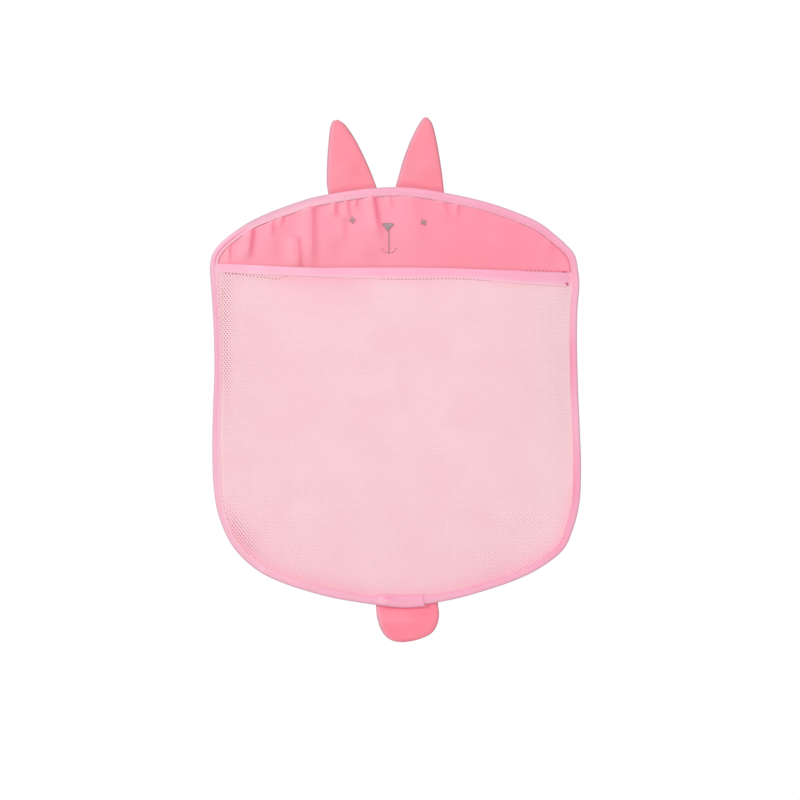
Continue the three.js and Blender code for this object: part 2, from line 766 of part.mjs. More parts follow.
// The tape loop that hangs on the hook: an arch whose legs slope to the bag and are stitched flat.
function hangLoop() {
  const outerRadius = loopInnerRadius + loopTape;
  const archSteps = 12;
  const legShares = [0, 0.25, 0.5, 0.75, 1];
  const slopeTop = -loopStraight;
  const slopeEnd = loopSewn - loopLeg;
  const hangDepth = capFront - rodReach / 2 + loopTapeThickness / 2;
  const sewnDepth = panelBack + sewnGap + loopTapeThickness;
  const depth = (z) => THREE.MathUtils.lerp(sewnDepth, hangDepth, smooth(slopeEnd, slopeTop, z));
  const line = [];
  const legHeights = [-loopLeg, ...legShares.map((share) => THREE.MathUtils.lerp(slopeEnd, slopeTop, share))];
  for (const z of legHeights) {
    line.push([-1, 0, z]);
  }
  for (let step = 0; step <= archSteps; step += 1) {
    const angle = Math.PI - (step / archSteps) * Math.PI;
    line.push([Math.cos(angle), Math.sin(angle), 0]);
  }
  for (const z of [...legHeights].reverse()) {
    line.push([1, 0, z]);
  }
  const pairs = [];
  for (const radius of [loopInnerRadius, (loopInnerRadius + outerRadius) / 2, outerRadius]) {
    for (const [across, rise, drop] of line) {
      const z = rise * radius + drop;
      pairs.push(clothPair(across * radius, z, depth(z) - loopTapeThickness, depth(z)));
    }
  }
  return sheetSolid(pairs, gridTriangles(line.length - 1, 2));
}

// Finishes

const coralCloth = { color: 0xfc97ac, roughness: 0.75, metalness: 0 };
const pinkTape = { color: 0xf1b5ca, roughness: 0.8, metalness: 0 };
const paleNet = { color: 0xf7ccd2, roughness: 0.85, metalness: 0 };
const greyThread = { color: 0xae979a, roughness: 0.7, metalness: 0 };
const wadding = { color: 0xf4f1ee, roughness: 0.95, metalness: 0 };
const clearCup = { color: 0xe4ecef, roughness: 0.15, metalness: 0 };
const clearHook = { color: 0xe9eff2, roughness: 0.1, metalness: 0 };

const group = new THREE.Group();

function addPiece(name, geometry, finish, x = 0, y = 0, z = 0) {
  const mesh = new THREE.Mesh(geometry, new THREE.MeshStandardMaterial(finish));
  mesh.name = name;
  mesh.position.set(x, y, z);
  group.add(mesh);
}

addPiece('back_panel', backPanel(), coralCloth);
addPiece('front_mesh', frontNet(), paleNet);
addPiece('pocket_hem', pocketHem(), pinkTape);
addPiece('edge_binding', edgeBinding(), pinkTape);

const flaps = {
  ear_left: flapFrame(leftEarShares, -leftEarReach, leftEarWidth, leftEarHeight, 1),
  ear_right: flapFrame(rightEarShares, rightEarReach - rightEarWidth, rightEarWidth, rightEarHeight, 1),
  tail: flapFrame(tailShares, -tailReach, tailWidth, tailHeight, -1),
};
for (const [name, frame] of Object.entries(flaps)) {
  addPiece(`${name}_front`, flapSkin(frame, -1), coralCloth);
  addPiece(`${name}_back`, flapSkin(frame, 1), coralCloth);
  addPiece(`${name}_padding`, flapPadding(frame), wadding);
}

const facePieces = [
  ['eye_left', figure(eyeShape()), leftEyeShares],
  ['eye_right', figure(eyeShape()), rightEyeShares],
  ['nose', figure(noseShape()), noseShares],
  ['mouth', mouthGeometry(), mouthShares],
];
for (const [name, geometry, [across, down]] of facePieces) {
  const front = bagPlane - sewnGap / 2;
  addPiece(name, geometry, greyThread, across * halfWidth, front, crestRise - down * bagHeight);
}

for (const [side, sign] of [['left', -1], ['right', 1]]) {
  const x = (sign * cupSpacing) / 2;
  const archCentre = valleyFloor + sewnGap - loopInnerRadius;
  const cup = new THREE.Mesh(suctionCup(), new THREE.MeshStandardMaterial(clearCup));
  cup.name = `suction_cup_${side}`;
  cup.position.set(x, 0, 0);
  cup.rotation.x = Math.PI;
  group.add(cup);
  const rod = new THREE.Mesh(hook(), new THREE.MeshStandardMaterial(clearHook));
  rod.name = `hook_${side}`;
  rod.position.set(x, 0, 0);
  rod.rotation.z = Math.PI;
  group.add(rod);
  addPiece(`hang_loop_${side}`, hangLoop(), pinkTape, x, 0, archCentre);
}

export default group;
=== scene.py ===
import math

import bpy
import numpy as np
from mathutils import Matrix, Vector


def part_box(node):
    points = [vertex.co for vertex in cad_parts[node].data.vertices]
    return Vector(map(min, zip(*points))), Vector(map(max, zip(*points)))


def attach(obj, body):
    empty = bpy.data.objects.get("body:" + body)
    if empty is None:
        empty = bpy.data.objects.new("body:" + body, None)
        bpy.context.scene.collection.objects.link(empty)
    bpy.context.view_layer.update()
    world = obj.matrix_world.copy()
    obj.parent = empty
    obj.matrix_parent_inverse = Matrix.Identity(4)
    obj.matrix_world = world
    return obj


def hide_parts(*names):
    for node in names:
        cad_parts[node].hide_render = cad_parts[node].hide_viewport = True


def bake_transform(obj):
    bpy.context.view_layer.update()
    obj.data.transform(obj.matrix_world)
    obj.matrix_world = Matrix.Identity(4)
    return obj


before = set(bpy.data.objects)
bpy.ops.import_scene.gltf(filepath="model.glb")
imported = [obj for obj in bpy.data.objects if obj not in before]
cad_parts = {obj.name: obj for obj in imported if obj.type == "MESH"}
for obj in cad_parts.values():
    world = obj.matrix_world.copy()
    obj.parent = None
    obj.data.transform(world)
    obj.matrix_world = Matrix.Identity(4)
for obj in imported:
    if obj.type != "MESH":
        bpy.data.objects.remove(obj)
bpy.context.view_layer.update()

# A rabbit-shaped net bag for bath toys, hung from two suction hooks on a wall behind it.
# X runs across the bag, Z up, and the front faces -Y. Lengths are in metres, but the functions that
# give the tapes' widths and the shares of their painted shade and light work in millimetres inside.

MM = 0.001

# Bag
BAG_WIDTH = 350 * MM
BAG_HEIGHT = 397 * MM
HALF_WIDTH = BAG_WIDTH / 2
CREST = 62 * MM
MIDDLE = CREST - BAG_HEIGHT / 2
PLANE = (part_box("edge_binding")[0].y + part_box("edge_binding")[1].y) / 2
CLOTH_THICKNESS = 0.5 * MM
# Where the binding holds them, the net and the cloth lie this far before and behind the bag's plane.
SEWN_GAP = 0.55 * MM

# Binding and hem tapes; a half is half the thickness of the folded tape
BINDING_WIDTH = 8 * MM
BINDING_HALF = 2.05 * MM
TAPE_THICKNESS = 0.55 * MM
HEM_HALF = 0.9 * MM
HEM_PUFF = 0.45 * MM
LAP_LENGTH = 46 * MM

# Pocket
POCKET_DEPTH = 19 * MM
NET_BORDER = 3 * MM
STRAND_SPACING = 2.4 * MM
STRAND_WIDTH = 2.02 * MM
STRAND_HEIGHT = 0.12 * MM
STRAND_STEP = 8 * MM
# Half of how far each family of yarn lines is laid out, along the lines and across them
STRAND_REACH = 450 * MM
FAMILY_REACH = 300 * MM
NET_ANGLE = math.radians(52)

# Outline of the bag as shares of half its width and of its height, clockwise from the crest
OUTLINE_SHARES = [
    (0, 0), (0.338, 0.0195), (0.58, 0.0478), (0.78, 0.085), (0.862, 0.1122), (0.925, 0.137),
    (0.971, 0.161), (0.99, 0.198), (0.997, 0.232), (0.987, 0.29), (0.984, 0.36), (0.989, 0.47),
    (1, 0.585), (1.006, 0.66), (0.999, 0.747), (0.969, 0.807), (0.912, 0.863), (0.8, 0.9035),
    (0.673, 0.933), (0.489, 0.9615), (0.3, 0.984), (0.03, 1), (-0.24, 0.987), (-0.363, 0.9765),
    (-0.49, 0.961), (-0.59, 0.9465), (-0.712, 0.9225), (-0.812, 0.8895), (-0.886, 0.851), (-0.936, 0.806),
    (-0.967, 0.76), (-0.984, 0.694), (-0.988, 0.6), (-0.984, 0.523), (-0.977, 0.44), (-0.98, 0.352),
    (-0.99, 0.268), (-0.998, 0.22), (-1.001, 0.19), (-0.989, 0.162), (-0.953, 0.138), (-0.896, 0.1155),
    (-0.794, 0.0846), (-0.69, 0.0625), (-0.608, 0.0483), (-0.515, 0.034), (-0.4, 0.0205),
]
HEM_TOP_SHARES = [
    (-1, 0.181), (-0.73, 0.1878), (-0.405, 0.194), (0.027, 0.193), (0.351, 0.1958),
    (0.676, 0.2006), (1, 0.2038),
]
HEM_BOTTOM_SHARES = [
    (-1, 0.202), (-0.73, 0.2092), (-0.405, 0.216), (0.027, 0.222), (0.351, 0.2206),
    (0.676, 0.232), (1, 0.2395),
]

# Folds of the face panel in millimetres: where each ridge starts and ends, its half width and height
FOLDS = [
    (-80.4, 44, -80.4, -30, 5.0, 3.4), (-94.0, 13, -92.1, -30, 4.2, 3.6),
    (-136.6, 21, -141.4, -12, 3.8, 3.5), (-157.5, 10, -157.5, -14, 1.8, 1.2),
    (-116.8, 36, -117.5, 12, 2.2, 1.3), (-106.5, 42, -109.5, 20, 2.2, 1.6),
    (-92.2, 44, -92.2, 32, 1.5, 1.1), (-57.6, 50, -57.8, 30, 2.6, 2.0),
    (-46.3, 51, -44.5, 28, 2.4, 1.6), (-37.3, 56, -37.3, 38, 1.6, 1.5),
    (-23, 58, -15.5, 8, 3.6, 3.4), (-50.5, 33, -50.5, 6, 4.0, 1.4), (-15, 26, -13, -6, 5.5, 1.2),
    (-8, 58, -2, 38, 2.0, 1.1), (-63, 38, -63, -22, 8.5, 1.3), (-30, 26, -31, -22, 9.5, 1.2),
    (-118, 24, -118, -12, 6.5, 1.3), (12, 58, 24, 0, 9.0, 1.6), (40, 56, 54, 26, 3.4, 1.7),
    (58.5, 52, 58.5, 28, 2.2, 1.3), (74, 48, 78, 20, 8.0, 0.9), (92, 44, 92, 33, 2.0, 0.7),
    (118, 34, 116, 22, 2.4, 0.7), (100, 30, 104, -20, 14.0, 1.0), (146, 12, 144, -14, 4.0, 0.8),
]

# Edges of a flap from base to tip: across its width and up its height
LEFT_EAR = {
    "start": -61.9 * MM, "width": 44.4 * MM, "height": 66.5 * MM, "pinch_shade": 0, "up": 1,
    "left": [(-0.03, 0), (-0.062, 0.16), (-0.053, 0.42), (-0.03, 0.65), (0.008, 0.88), (0.068, 0.985)],
    "right": [(1, 0), (0.885, 0.22), (0.735, 0.46), (0.545, 0.72), (0.335, 0.925), (0.17, 1)],
}
RIGHT_EAR = {
    "start": 0.7 * MM, "width": 45.7 * MM, "height": 67.2 * MM, "pinch_shade": 0.16, "up": 1,
    "left": [(0, 0), (0.083, 0.21), (0.17, 0.42), (0.315, 0.68), (0.475, 0.9), (0.585, 1)],
    "right": [(1, 0), (0.965, 0.2), (0.91, 0.44), (0.84, 0.7), (0.755, 0.91), (0.65, 1)],
}
TAIL = {
    "start": -18 * MM, "width": 59.6 * MM, "height": 33.6 * MM, "pinch_shade": 0, "up": -1,
    "left": [(0, 0), (0.01, 0.2), (0.035, 0.4), (0.075, 0.62), (0.165, 0.85), (0.28, 0.967), (0.41, 1)],
    "right": [(0.985, 0), (1, 0.18), (0.995, 0.36), (0.955, 0.58), (0.86, 0.78), (0.66, 0.93), (0.45, 1)],
}
# How far the flaps start outside the bag's edge, their thickness, and how they reach behind the binding
FLAP_SEAT = 0.35 * MM
FLAP_SEAM_HALF = 0.55 * MM
FLAP_LOFT = 2.9 * MM
FLAP_TUCK = 6 * MM
FLAP_TUCK_DEPTH = 2.75 * MM

# Embroidery, across half the bag's width and down its height
LEFT_EYE = (-0.23, 0.079)
RIGHT_EYE = (0.154, 0.084)
NOSE = (-0.038, 0.094)
MOUTH = (-0.033, 0.155)
EYE_RADIUS = 3.2 * MM
NOSE_WIDTH = 10.8 * MM
NOSE_HEIGHT = 8 * MM
SMILE_WIDTH = 7 * MM
SMILE_RISE = 6.2 * MM
THREAD_RADIUS = 0.45 * MM

# Seams: how far apart their stitches start, and the thread's radius
HEM_PITCH = 3.4 * MM
HEM_END_START = 124 * MM
HEM_END_PITCH = 3.8 * MM
BINDING_PITCH = 3.1 * MM
BINDING_STITCH = 2.2 * MM
BINDING_SEAM_INSET = 1.4 * MM
LOOP_PITCH = 2.2 * MM
SEAM_RADIUS = 0.17 * MM

# Hanging hardware behind the bag
CUP_SPACING = 190 * MM
CUP_RADIUS = 22 * MM
CUP_DEPTH = 9 * MM
LOOP_RADIUS = 7 * MM
LOOP_WIDTH = 8 * MM
LOOP_HALF = 0.75 * MM

# Every cloth's clouds of dye, the slubs of its threads, and how far the threads stand up
CLOUD = 38 * MM
SLUB = 1.6 * MM
THREAD_RISE = 0.12 * MM


def between(p1, p2, t1, t2, t):
    """The point at share t of a curve between two points that has these tangents at them."""
    return ((2 * t**3 - 3 * t**2 + 1) * p1 + (t**3 - 2 * t**2 + t) * t1
            + (3 * t**2 - 2 * t**3) * p2 + (t**3 - t**2) * t2)


def closed_spline(control, per_span=24):
    """A closed curve through the control points, with its speed set by the points' spacing."""
    points = np.array(control, float)
    out = []
    count = len(points)
    for i in range(count):
        p0, p1, p2, p3 = (points[(i + k) % count] for k in (-1, 0, 1, 2))
        d0, d1, d2 = (math.sqrt(np.linalg.norm(b - a)) for a, b in ((p0, p1), (p1, p2), (p2, p3)))
        t1 = ((p1 - p0) / d0 - (p2 - p0) / (d0 + d1) + (p2 - p1) / d1) * d1
        t2 = ((p2 - p1) / d1 - (p3 - p1) / (d1 + d2) + (p3 - p2) / d2) * d1
        out += [between(p1, p2, t1, t2, share) for share in np.arange(per_span) / per_span]
    return np.array(out)


def open_spline(control, shares):
    """Points along an even spline through the control points, at shares of its parameter."""
    points = np.array(control, float)
    spans = len(points) - 1
    out = []
    for share in shares:
        i = min(int(share * spans), spans - 1)
        p0, p1, p2, p3 = (points[min(max(i + k, 0), spans)] for k in (-1, 0, 1, 2))
        out.append(between(p1, p2, (p2 - p0) / 2, (p3 - p1) / 2, share * spans - i))
    return np.array(out)


outline = closed_spline([(a * HALF_WIDTH, CREST - d * BAG_HEIGHT) for a, d in OUTLINE_SHARES])
outline_steps = np.linalg.norm(np.roll(outline, -1, axis=0) - outline, axis=1)
outline_length = outline_steps.sum()
outline_places = np.concatenate(([0], np.cumsum(outline_steps)))


def outline_at(lengths):
    """Points of the bag's edge and its inward directions at lengths along it, clockwise from the crest."""
    wrapped = np.mod(lengths, outline_length)
    ring = np.vstack((outline, outline[:1]))
    reach = 1.5 * MM

    def place(at):
        at = np.mod(at, outline_length)
        return np.stack([np.interp(at, outline_places, ring[:, k]) for k in (0, 1)], axis=1)

    along = place(wrapped + reach) - place(wrapped - reach)
    along /= np.linalg.norm(along, axis=1, keepdims=True)
    return place(wrapped), np.stack((along[:, 1], -along[:, 0]), axis=1)


def inset_line(distance, count=720):
    """The closed line that runs this far inside the bag's edge."""
    points, inward = outline_at(np.arange(count) * outline_length / count)
    return points + inward * distance


def heights(line, x):
    """Lowest and highest point of a closed line over each place across the bag."""
    left = int(np.argmin(line[:, 0]))
    rolled = np.roll(line, -left, axis=0)
    right = int(np.argmax(rolled[:, 0]))
    upper = rolled[: right + 1]
    lower = np.vstack((rolled[right:], rolled[:1]))[::-1]
    high = np.interp(x, np.maximum.accumulate(upper[:, 0]), upper[:, 1])
    low = np.interp(x, np.maximum.accumulate(lower[:, 0]), lower[:, 1])
    return low, high


def smooth(low, high, value):
    """Rises softly from 0 at low to 1 at high."""
    share = np.clip((value - low) / (high - low), 0, 1)
    return share * share * (3 - 2 * share)


def fall(low, high, value):
    """Falls softly from 1 at low to 0 at high."""
    return 1 - smooth(low, high, value)


def bell(value, centre, width):
    """1 at the centre, fading on both sides of it over about this width."""
    return np.exp(-(((value - centre) / width) ** 2))


def fade(value, length):
    """1 up to zero, fading beyond it over about this length."""
    return np.exp(-np.clip(value, 0, None) / length)


def ripple(a, b, size, seed):
    """A smooth unevenness between about -1 and 1, with bumps of about this size."""
    total = 0
    for k in range(4):
        turn = seed * 1.7 + k * 2.4
        run = (a * math.cos(turn) + b * math.sin(turn)) * math.tau / size
        total = total + np.sin(run / (1 + 0.37 * k) + turn * 3)
    return total / 4


def hem_line(shares):
    """One edge of the hem as points from the left side to the right."""
    line = open_spline(shares, np.linspace(0, 1, 241))
    return np.stack((line[:, 0] * HALF_WIDTH, CREST - line[:, 1] * BAG_HEIGHT), axis=1)


def level(line, x):
    """The height of an open line at each place across the bag."""
    return np.interp(x, line[:, 0], line[:, 1])


hem_top, hem_bottom = hem_line(HEM_TOP_SHARES), hem_line(HEM_BOTTOM_SHARES)
lip_line = inset_line(BINDING_WIDTH + NET_BORDER)
tuck_line = inset_line(BINDING_WIDTH / 2)
TUCK_LEFT, TUCK_RIGHT = tuck_line[:, 0].min(), tuck_line[:, 0].max()
in_pocket = lip_line[lip_line[:, 1] < level(hem_bottom, lip_line[:, 0])]
POCKET_LEFT, POCKET_RIGHT = in_pocket[:, 0].min(), in_pocket[:, 0].max()


def belly(x, z):
    """How far the pocket's net stands out from the bag's plane."""
    across = np.clip((x - POCKET_LEFT) / (POCKET_RIGHT - POCKET_LEFT) * 2 - 1, -1, 1)
    low = heights(lip_line, x)[0]
    up = np.clip((z - low) / (level(hem_bottom, x) + NET_BORDER / 2 - low), 0, 1)
    return POCKET_DEPTH * (1 - across**4) * (1 - (1 - up) ** 3)


def net_depth(x, z):
    """The net's place in Y, with the slight unevenness of slack knit."""
    out = belly(x, z)
    slack = 0.9 * MM * ripple(x, z, 95 * MM, 1) + 0.3 * MM * ripple(x, z, 34 * MM, 2)
    return PLANE - SEWN_GAP - out - slack * np.clip(out / (6 * MM), 0, 1)


def fold_height(x, z):
    """How far the folds lift the face panel; each is steeper on its right and fades towards its end."""
    total = 0
    for x0, z0, x1, z1, half, height in FOLDS:
        run = (z0 * MM - z) / ((z0 - z1) * MM)
        side = x - (x0 + (x1 - x0) * run) * MM
        wide = half * MM * (1 + 0.25 * np.clip(run, 0, 1)) * np.where(side > 0, 0.7, 1.2)
        drawn = smooth(-0.12, 0.05, run) * fall(0.45, 1, run)
        total = total + height * MM * drawn * np.exp(-((side / wide) ** 2) / 2)
    return total


def cloth_depth(x, z):
    """The back cloth's place in Y: folds of the face panel, and soft waves behind the net."""
    low, high = heights(tuck_line, x)
    edge = np.clip(np.minimum((high - z) / (5 * MM), (z - low) / (14 * MM)), 0, 1)
    above = smooth(-20 * MM, 10 * MM, z - level(hem_top, x))
    wave = (0.5 * MM * ripple(x, z, 120 * MM, 3) + 0.28 * MM * ripple(x * 1.6, z, 48 * MM, 4)) * above
    behind = 0.5 * MM * ripple(x, z, 130 * MM, 5) * (1 - above)
    lift = np.clip(fold_height(x, z) - 0.4 * MM, -0.4 * MM, 3.2 * MM) * above
    return PLANE + SEWN_GAP - (lift + wave + behind) * edge


def linear(colour):
    """An sRGB hex colour as linear red, green, blue and alpha."""
    channels = [int(colour[i:i + 2], 16) / 255 for i in (1, 3, 5)]
    return [c / 12.92 if c <= 0.04045 else ((c + 0.055) / 1.055) ** 2.4 for c in channels] + [1]


def add(tree, kind, settings=(), links=()):
    """Adds a node; settings are its properties or its sockets' values, links are the sockets it reads."""
    node = tree.nodes.new(kind)
    for key, value in dict(settings).items():
        if isinstance(key, str) and hasattr(node, key):
            setattr(node, key, value)
        else:
            node.inputs[key].default_value = value
    for key, source in dict(links).items():
        tree.links.new(source, node.inputs[key])
    return node


def new_material(name, **surface):
    """A material with a principled surface; the settings are those of its own sockets."""
    material = bpy.data.materials.new(name)
    material.use_nodes = True
    shader = material.node_tree.nodes["Principled BSDF"]
    for key, value in surface.items():
        shader.inputs[key.replace("_", " ")].default_value = value
    return material, material.node_tree, shader


def mottled(tree, place, size, detail, low, high):
    """Slow clouds between two tones of a dye, and the noise that makes them."""
    noise = add(tree, "ShaderNodeTexNoise", {"Scale": 1 / size, "Detail": detail}, {"Vector": place})
    ramp = add(tree, "ShaderNodeValToRGB", (), {"Fac": noise.outputs["Fac"]})
    for stop, position, tone in zip(ramp.color_ramp.elements, (0.36, 0.64), (low, high)):
        stop.position = position
        stop.color = linear(tone)
    return ramp.outputs["Color"], noise.outputs["Fac"]


def cloth_material(name, colour, deep, light, thread, strength, roughness, slanted=False):
    """Cloth: raised threads, single paler threads, and slow mottling between two tones of its dye."""
    material, tree, shader = new_material(
        name, Roughness=roughness, IOR=1.5, Sheen_Weight=0.2, Sheen_Roughness=0.4, Specular_IOR_Level=0.3,
    )
    place = add(tree, "ShaderNodeTexCoord").outputs["Object"]
    dye, _ = mottled(tree, place, CLOUD, 4.0, deep, colour)
    slub = add(tree, "ShaderNodeTexNoise", {"Scale": 1 / SLUB, "Detail": 3.0}, {"Vector": place})
    paler = add(tree, "ShaderNodeMath", {"operation": "MULTIPLY", 1: 0.22}, {0: slub.outputs["Fac"]})
    mix = add(tree, "ShaderNodeMix", {"data_type": "RGBA", 7: linear(light)}, {0: paler.outputs[0], 6: dye})
    tree.links.new(mix.outputs[2], shader.inputs["Base Color"])
    # One turn of a wave texture's bands is a twentieth of a full circle at scale 1.
    bands = {"Scale": math.tau / 20 / thread, "Distortion": 0.4}
    runs = [
        add(tree, "ShaderNodeTexWave", {"bands_direction": way, **bands}, {"Vector": place}).outputs["Fac"]
        for way in (["DIAGONAL"] if slanted else ["X", "Z"])
    ]
    weave = runs[0]
    if not slanted:
        crossed = add(tree, "ShaderNodeMath", {"operation": "MULTIPLY"}, {0: runs[0], 1: runs[1]})
        weave = crossed.outputs[0]
    height = add(tree, "ShaderNodeMath", {"operation": "MULTIPLY_ADD", 1: 0.6},
                 {0: slub.outputs["Fac"], 2: weave})
    bump = add(tree, "ShaderNodeBump", {"Strength": strength, "Distance": THREAD_RISE},
               {"Height": height.outputs[0]})
    tree.links.new(bump.outputs["Normal"], shader.inputs["Normal"])
    return material


def add_tones(material, deep, pale, painted_shading=None):
    """Further tones, mixed in by the shares of them that are stored at the mesh's points: mostly painted
    shade and painted light, and a greyer painted shade on rounded edges.
    """
    tree = material.node_tree
    base = tree.nodes["Principled BSDF"].inputs["Base Color"]
    for attribute, colour in (("pale_share", pale), ("edge_shade_share", painted_shading), ("deep_share", deep)):
        if colour:
            share = add(tree, "ShaderNodeAttribute", {"attribute_name": attribute})
            mix = add(tree, "ShaderNodeMix", {"data_type": "RGBA", 7: linear(colour)},
                      {0: share.outputs["Fac"], 6: base.links[0].from_socket})
            tree.links.new(mix.outputs[2], base)
    return material


def paint(piece, deep, pale, painted_shading=None):
    """Stores the tones' shares at a piece's first points; the rest get none."""
    for name, values in (("deep_share", deep), ("pale_share", pale), ("edge_shade_share", painted_shading)):
        if values is not None:
            full = np.zeros(len(piece.data.vertices), np.float32)
            full[:values.size] = np.clip(values, 0, 1).ravel()
            piece.data.attributes.new(name, "FLOAT", "POINT").data.foreach_set("value", full)


def clear_plastic(name, colour, roughness, ior):
    """Clear moulded plastic: it lets the wall's light through and shows its edges by refraction."""
    material, tree, shader = new_material(name, Roughness=roughness, IOR=ior, Transmission_Weight=1.0)
    place = add(tree, "ShaderNodeTexCoord").outputs["Object"]
    tint, flow = mottled(tree, place, 9 * MM, 2.0, colour, "#ffffff")
    tree.links.new(tint, shader.inputs["Base Color"])
    bump = add(tree, "ShaderNodeBump", {"Strength": 0.12, "Distance": 0.2 * MM}, {"Height": flow})
    tree.links.new(bump.outputs["Normal"], shader.inputs["Normal"])
    return material


# Woven polyester with a light satin face: its threads are about 0.3 mm apart, drawn at 0.9 mm to show.
# Its deeper tone is painted shade on the folds and above the hem; its paler tone is painted light.
coral_panel = add_tones(
    cloth_material("woven_polyester_coral_folded", "#fe93a9", "#fd8fa5", "#fe9eb0", 0.9 * MM, 0.35, 0.62),
    "#f87b94", "#ffb0bf",
)
# The same cloth doubled over wadding on the ears, drawn a little deeper than the panel; its further tones are
# painted shade and painted light.
coral_flap = add_tones(
    cloth_material("woven_polyester_coral_double", "#fe90a1", "#fb8899", "#fea0ad", 0.9 * MM, 0.35, 0.62),
    "#cd7c8a", "#ffa6b4", "#eaa6b8",
)
# The tail's copy, deeper still, with the same painted shade and painted light.
coral_tail = add_tones(
    cloth_material("woven_polyester_coral_tail", "#fd899c", "#fa8194", "#fe9aa9", 0.9 * MM, 0.35, 0.62),
    "#cd7c8a", "#ffa2b1", "#eaa6b8",
)
# Bias tape of plain-woven cotton and polyester: matt, and cut on the slant, so its threads run
# diagonally. They are about 0.25 mm apart, drawn at 0.8 mm to show.
# Its deeper and paler tones are painted shade and painted light; its greyer tone is painted shade on its
# rounded fold.
tape_pink = add_tones(
    cloth_material("bias_tape_pink", "#fdb2ca", "#faa8c2", "#ffc1d4", 0.8 * MM, 0.4, 0.7, slanted=True),
    "#f598b4", "#ffc9d8", "#dcaebc",
)
# Its paler tone is painted light along its lower edge; its deeper tone makes it deeper towards the right.
tape_hem = add_tones(
    cloth_material("bias_tape_pink_hem", "#fdbbd1", "#fbb1c9", "#fdcbdc", 0.8 * MM, 0.4, 0.7, slanted=True),
    "#fca2bd", "#fdcbd6",
)
# Woven narrow tape of the loops: matt, with a rib that is coarser than the binding's weave.
tape_loop = cloth_material(
    "woven_tape_pink", "#f4b2c8", "#ea9fb8", "#ffc6d6", 1.1 * MM, 0.7, 0.75, slanted=True,
)
# Warp-knitted net of fine polyester yarn: matt, and paler than the cloth that shows through it.
# Its deeper tone is drawn near the binding and is the hem's painted shadow; its paler tone is painted light.
net_yarn = add_tones(
    cloth_material("knitted_net_yarn", "#fbced4", "#f9c9d0", "#fdd9dd", 0.5 * MM, 0.2, 0.75),
    "#fba5ba", "#ffdfe3",
)
# Rayon embroidery thread, slightly glossy along its length.
thread_grey = cloth_material("embroidery_thread_grey", "#b69b9d", "#a98f92", "#c9b4b5", 0.4 * MM, 0.5, 0.5)
# Matt polyester sewing threads: of the tapes' seams, of the hem's right end, whose dark colour also stands
# for painted shade in the stitch holes, and of the hem's lower edge.
thread_pink = cloth_material("sewing_thread_pink", "#efa7b8", "#e69aac", "#f4b9c8", 0.3 * MM, 0.3, 0.6)
thread_red = cloth_material("sewing_thread_coral", "#c8607c", "#b9526e", "#d57c93", 0.3 * MM, 0.3, 0.6)
thread_mauve = cloth_material("sewing_thread_mauve", "#d698a4", "#ca8b98", "#e2adb6", 0.3 * MM, 0.3, 0.6)
# Moulded soft PVC of the cups, satin and faintly blue, and moulded polycarbonate of the hooks, glossier.
cup_plastic = clear_plastic("moulded_clear_pvc", "#e3eef2", 0.12, 1.53)
hook_plastic = clear_plastic("moulded_clear_polycarbonate", "#eef5f8", 0.05, 1.58)


def new_object(name, data, place=(0, 0, 0), turn=(0, 0, 0)):
    """A new object in the scene."""
    thing = bpy.data.objects.new(name, data)
    thing.location = place
    thing.rotation_euler = turn
    bpy.context.scene.collection.objects.link(thing)
    return thing


def make_piece(name, shape, material, body, nodes=(), smooth_shade=True):
    """A mesh piece that rides on a body and stands for the CAD nodes it is given."""
    points, faces = shape
    mesh = bpy.data.meshes.new(name)
    mesh.from_pydata(np.asarray(points, float).tolist(), [], [tuple(int(i) for i in f) for f in faces])
    mesh.validate()
    mesh.materials.append(material)
    mesh.polygons.foreach_set("use_smooth", [smooth_shade] * len(mesh.polygons))
    piece = new_object(name, mesh)
    if nodes:
        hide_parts(*nodes)
    if body:
        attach(piece, body)
    return piece


def grid_faces(across, up, close_across=False):
    """Quads of a grid of points stored row by row."""
    stride = across if close_across else across + 1
    faces = []
    for row in range(up):
        for column in range(across):
            following = (column + 1) % stride
            a, b = row * stride + column, row * stride + following
            faces.append((a, b, b + stride, a + stride))
    return faces


def tube_faces(sides, rings):
    """Faces of a tube of rings of points, closed at both ends."""
    ends = [tuple(reversed(range(sides))), tuple(range((rings - 1) * sides, rings * sides))]
    return grid_faces(sides, rings - 1, True) + ends


def flipped(faces):
    """The same faces looking the other way."""
    return [tuple(reversed(face)) for face in faces]


def thick_sheet(front, back, across, up):
    """Points and faces of a closed sheet from the grids of its two faces and the rim that joins them."""
    count = len(front)
    faces = grid_faces(across, up)
    edges = {}
    for face in faces:
        for a, b in zip(face, face[1:] + face[:1]):
            if edges.pop((b, a), None) is None:
                edges[(a, b)] = True
    back_faces = flipped(tuple(i + count for i in face) for face in faces)
    rim = [(b, a, a + count, b + count) for a, b in edges]
    return np.vstack((front, back)), faces + back_faces + rim


def two_skins(x, y, z, half):
    """A closed sheet that reaches half its thickness to each side of a grid of places."""
    skins = [np.stack((x, y + side * half, z), axis=2).reshape(-1, 3) for side in (-1, 1)]
    return thick_sheet(*skins, x.shape[1] - 1, x.shape[0] - 1)


def capsule(start, end, radius, bow=(0, 0, 0), sides=6, rings=5):
    """A stitch: a short thread from start to end that bulges by bow in its middle, closed at its tips."""
    start, end, bow = (np.array(v, float) for v in (start, end, bow))
    axis = (end - start) / np.linalg.norm(end - start)
    side = np.cross(axis, (0, 1, 0))
    side /= np.linalg.norm(side)
    up = np.cross(axis, side)
    points = []
    for along in np.linspace(0, 1, rings):
        swell = math.sin(math.pi * (0.12 + 0.76 * along)) ** 0.5
        centre = start + (end - start) * along + bow * math.sin(math.pi * along)
        for turn in np.arange(sides) * math.tau / sides:
            points.append(centre + (side * math.cos(turn) + up * math.sin(turn)) * radius * swell)
    return points, tube_faces(sides, rings)


def gather(parts):
    """One list of points and faces from many."""
    points, faces = [], []
    for part_points, part_faces in parts:
        first = len(points)
        points.extend(part_points)
        faces.extend(tuple(i + first for i in face) for face in part_faces)
    return points, faces


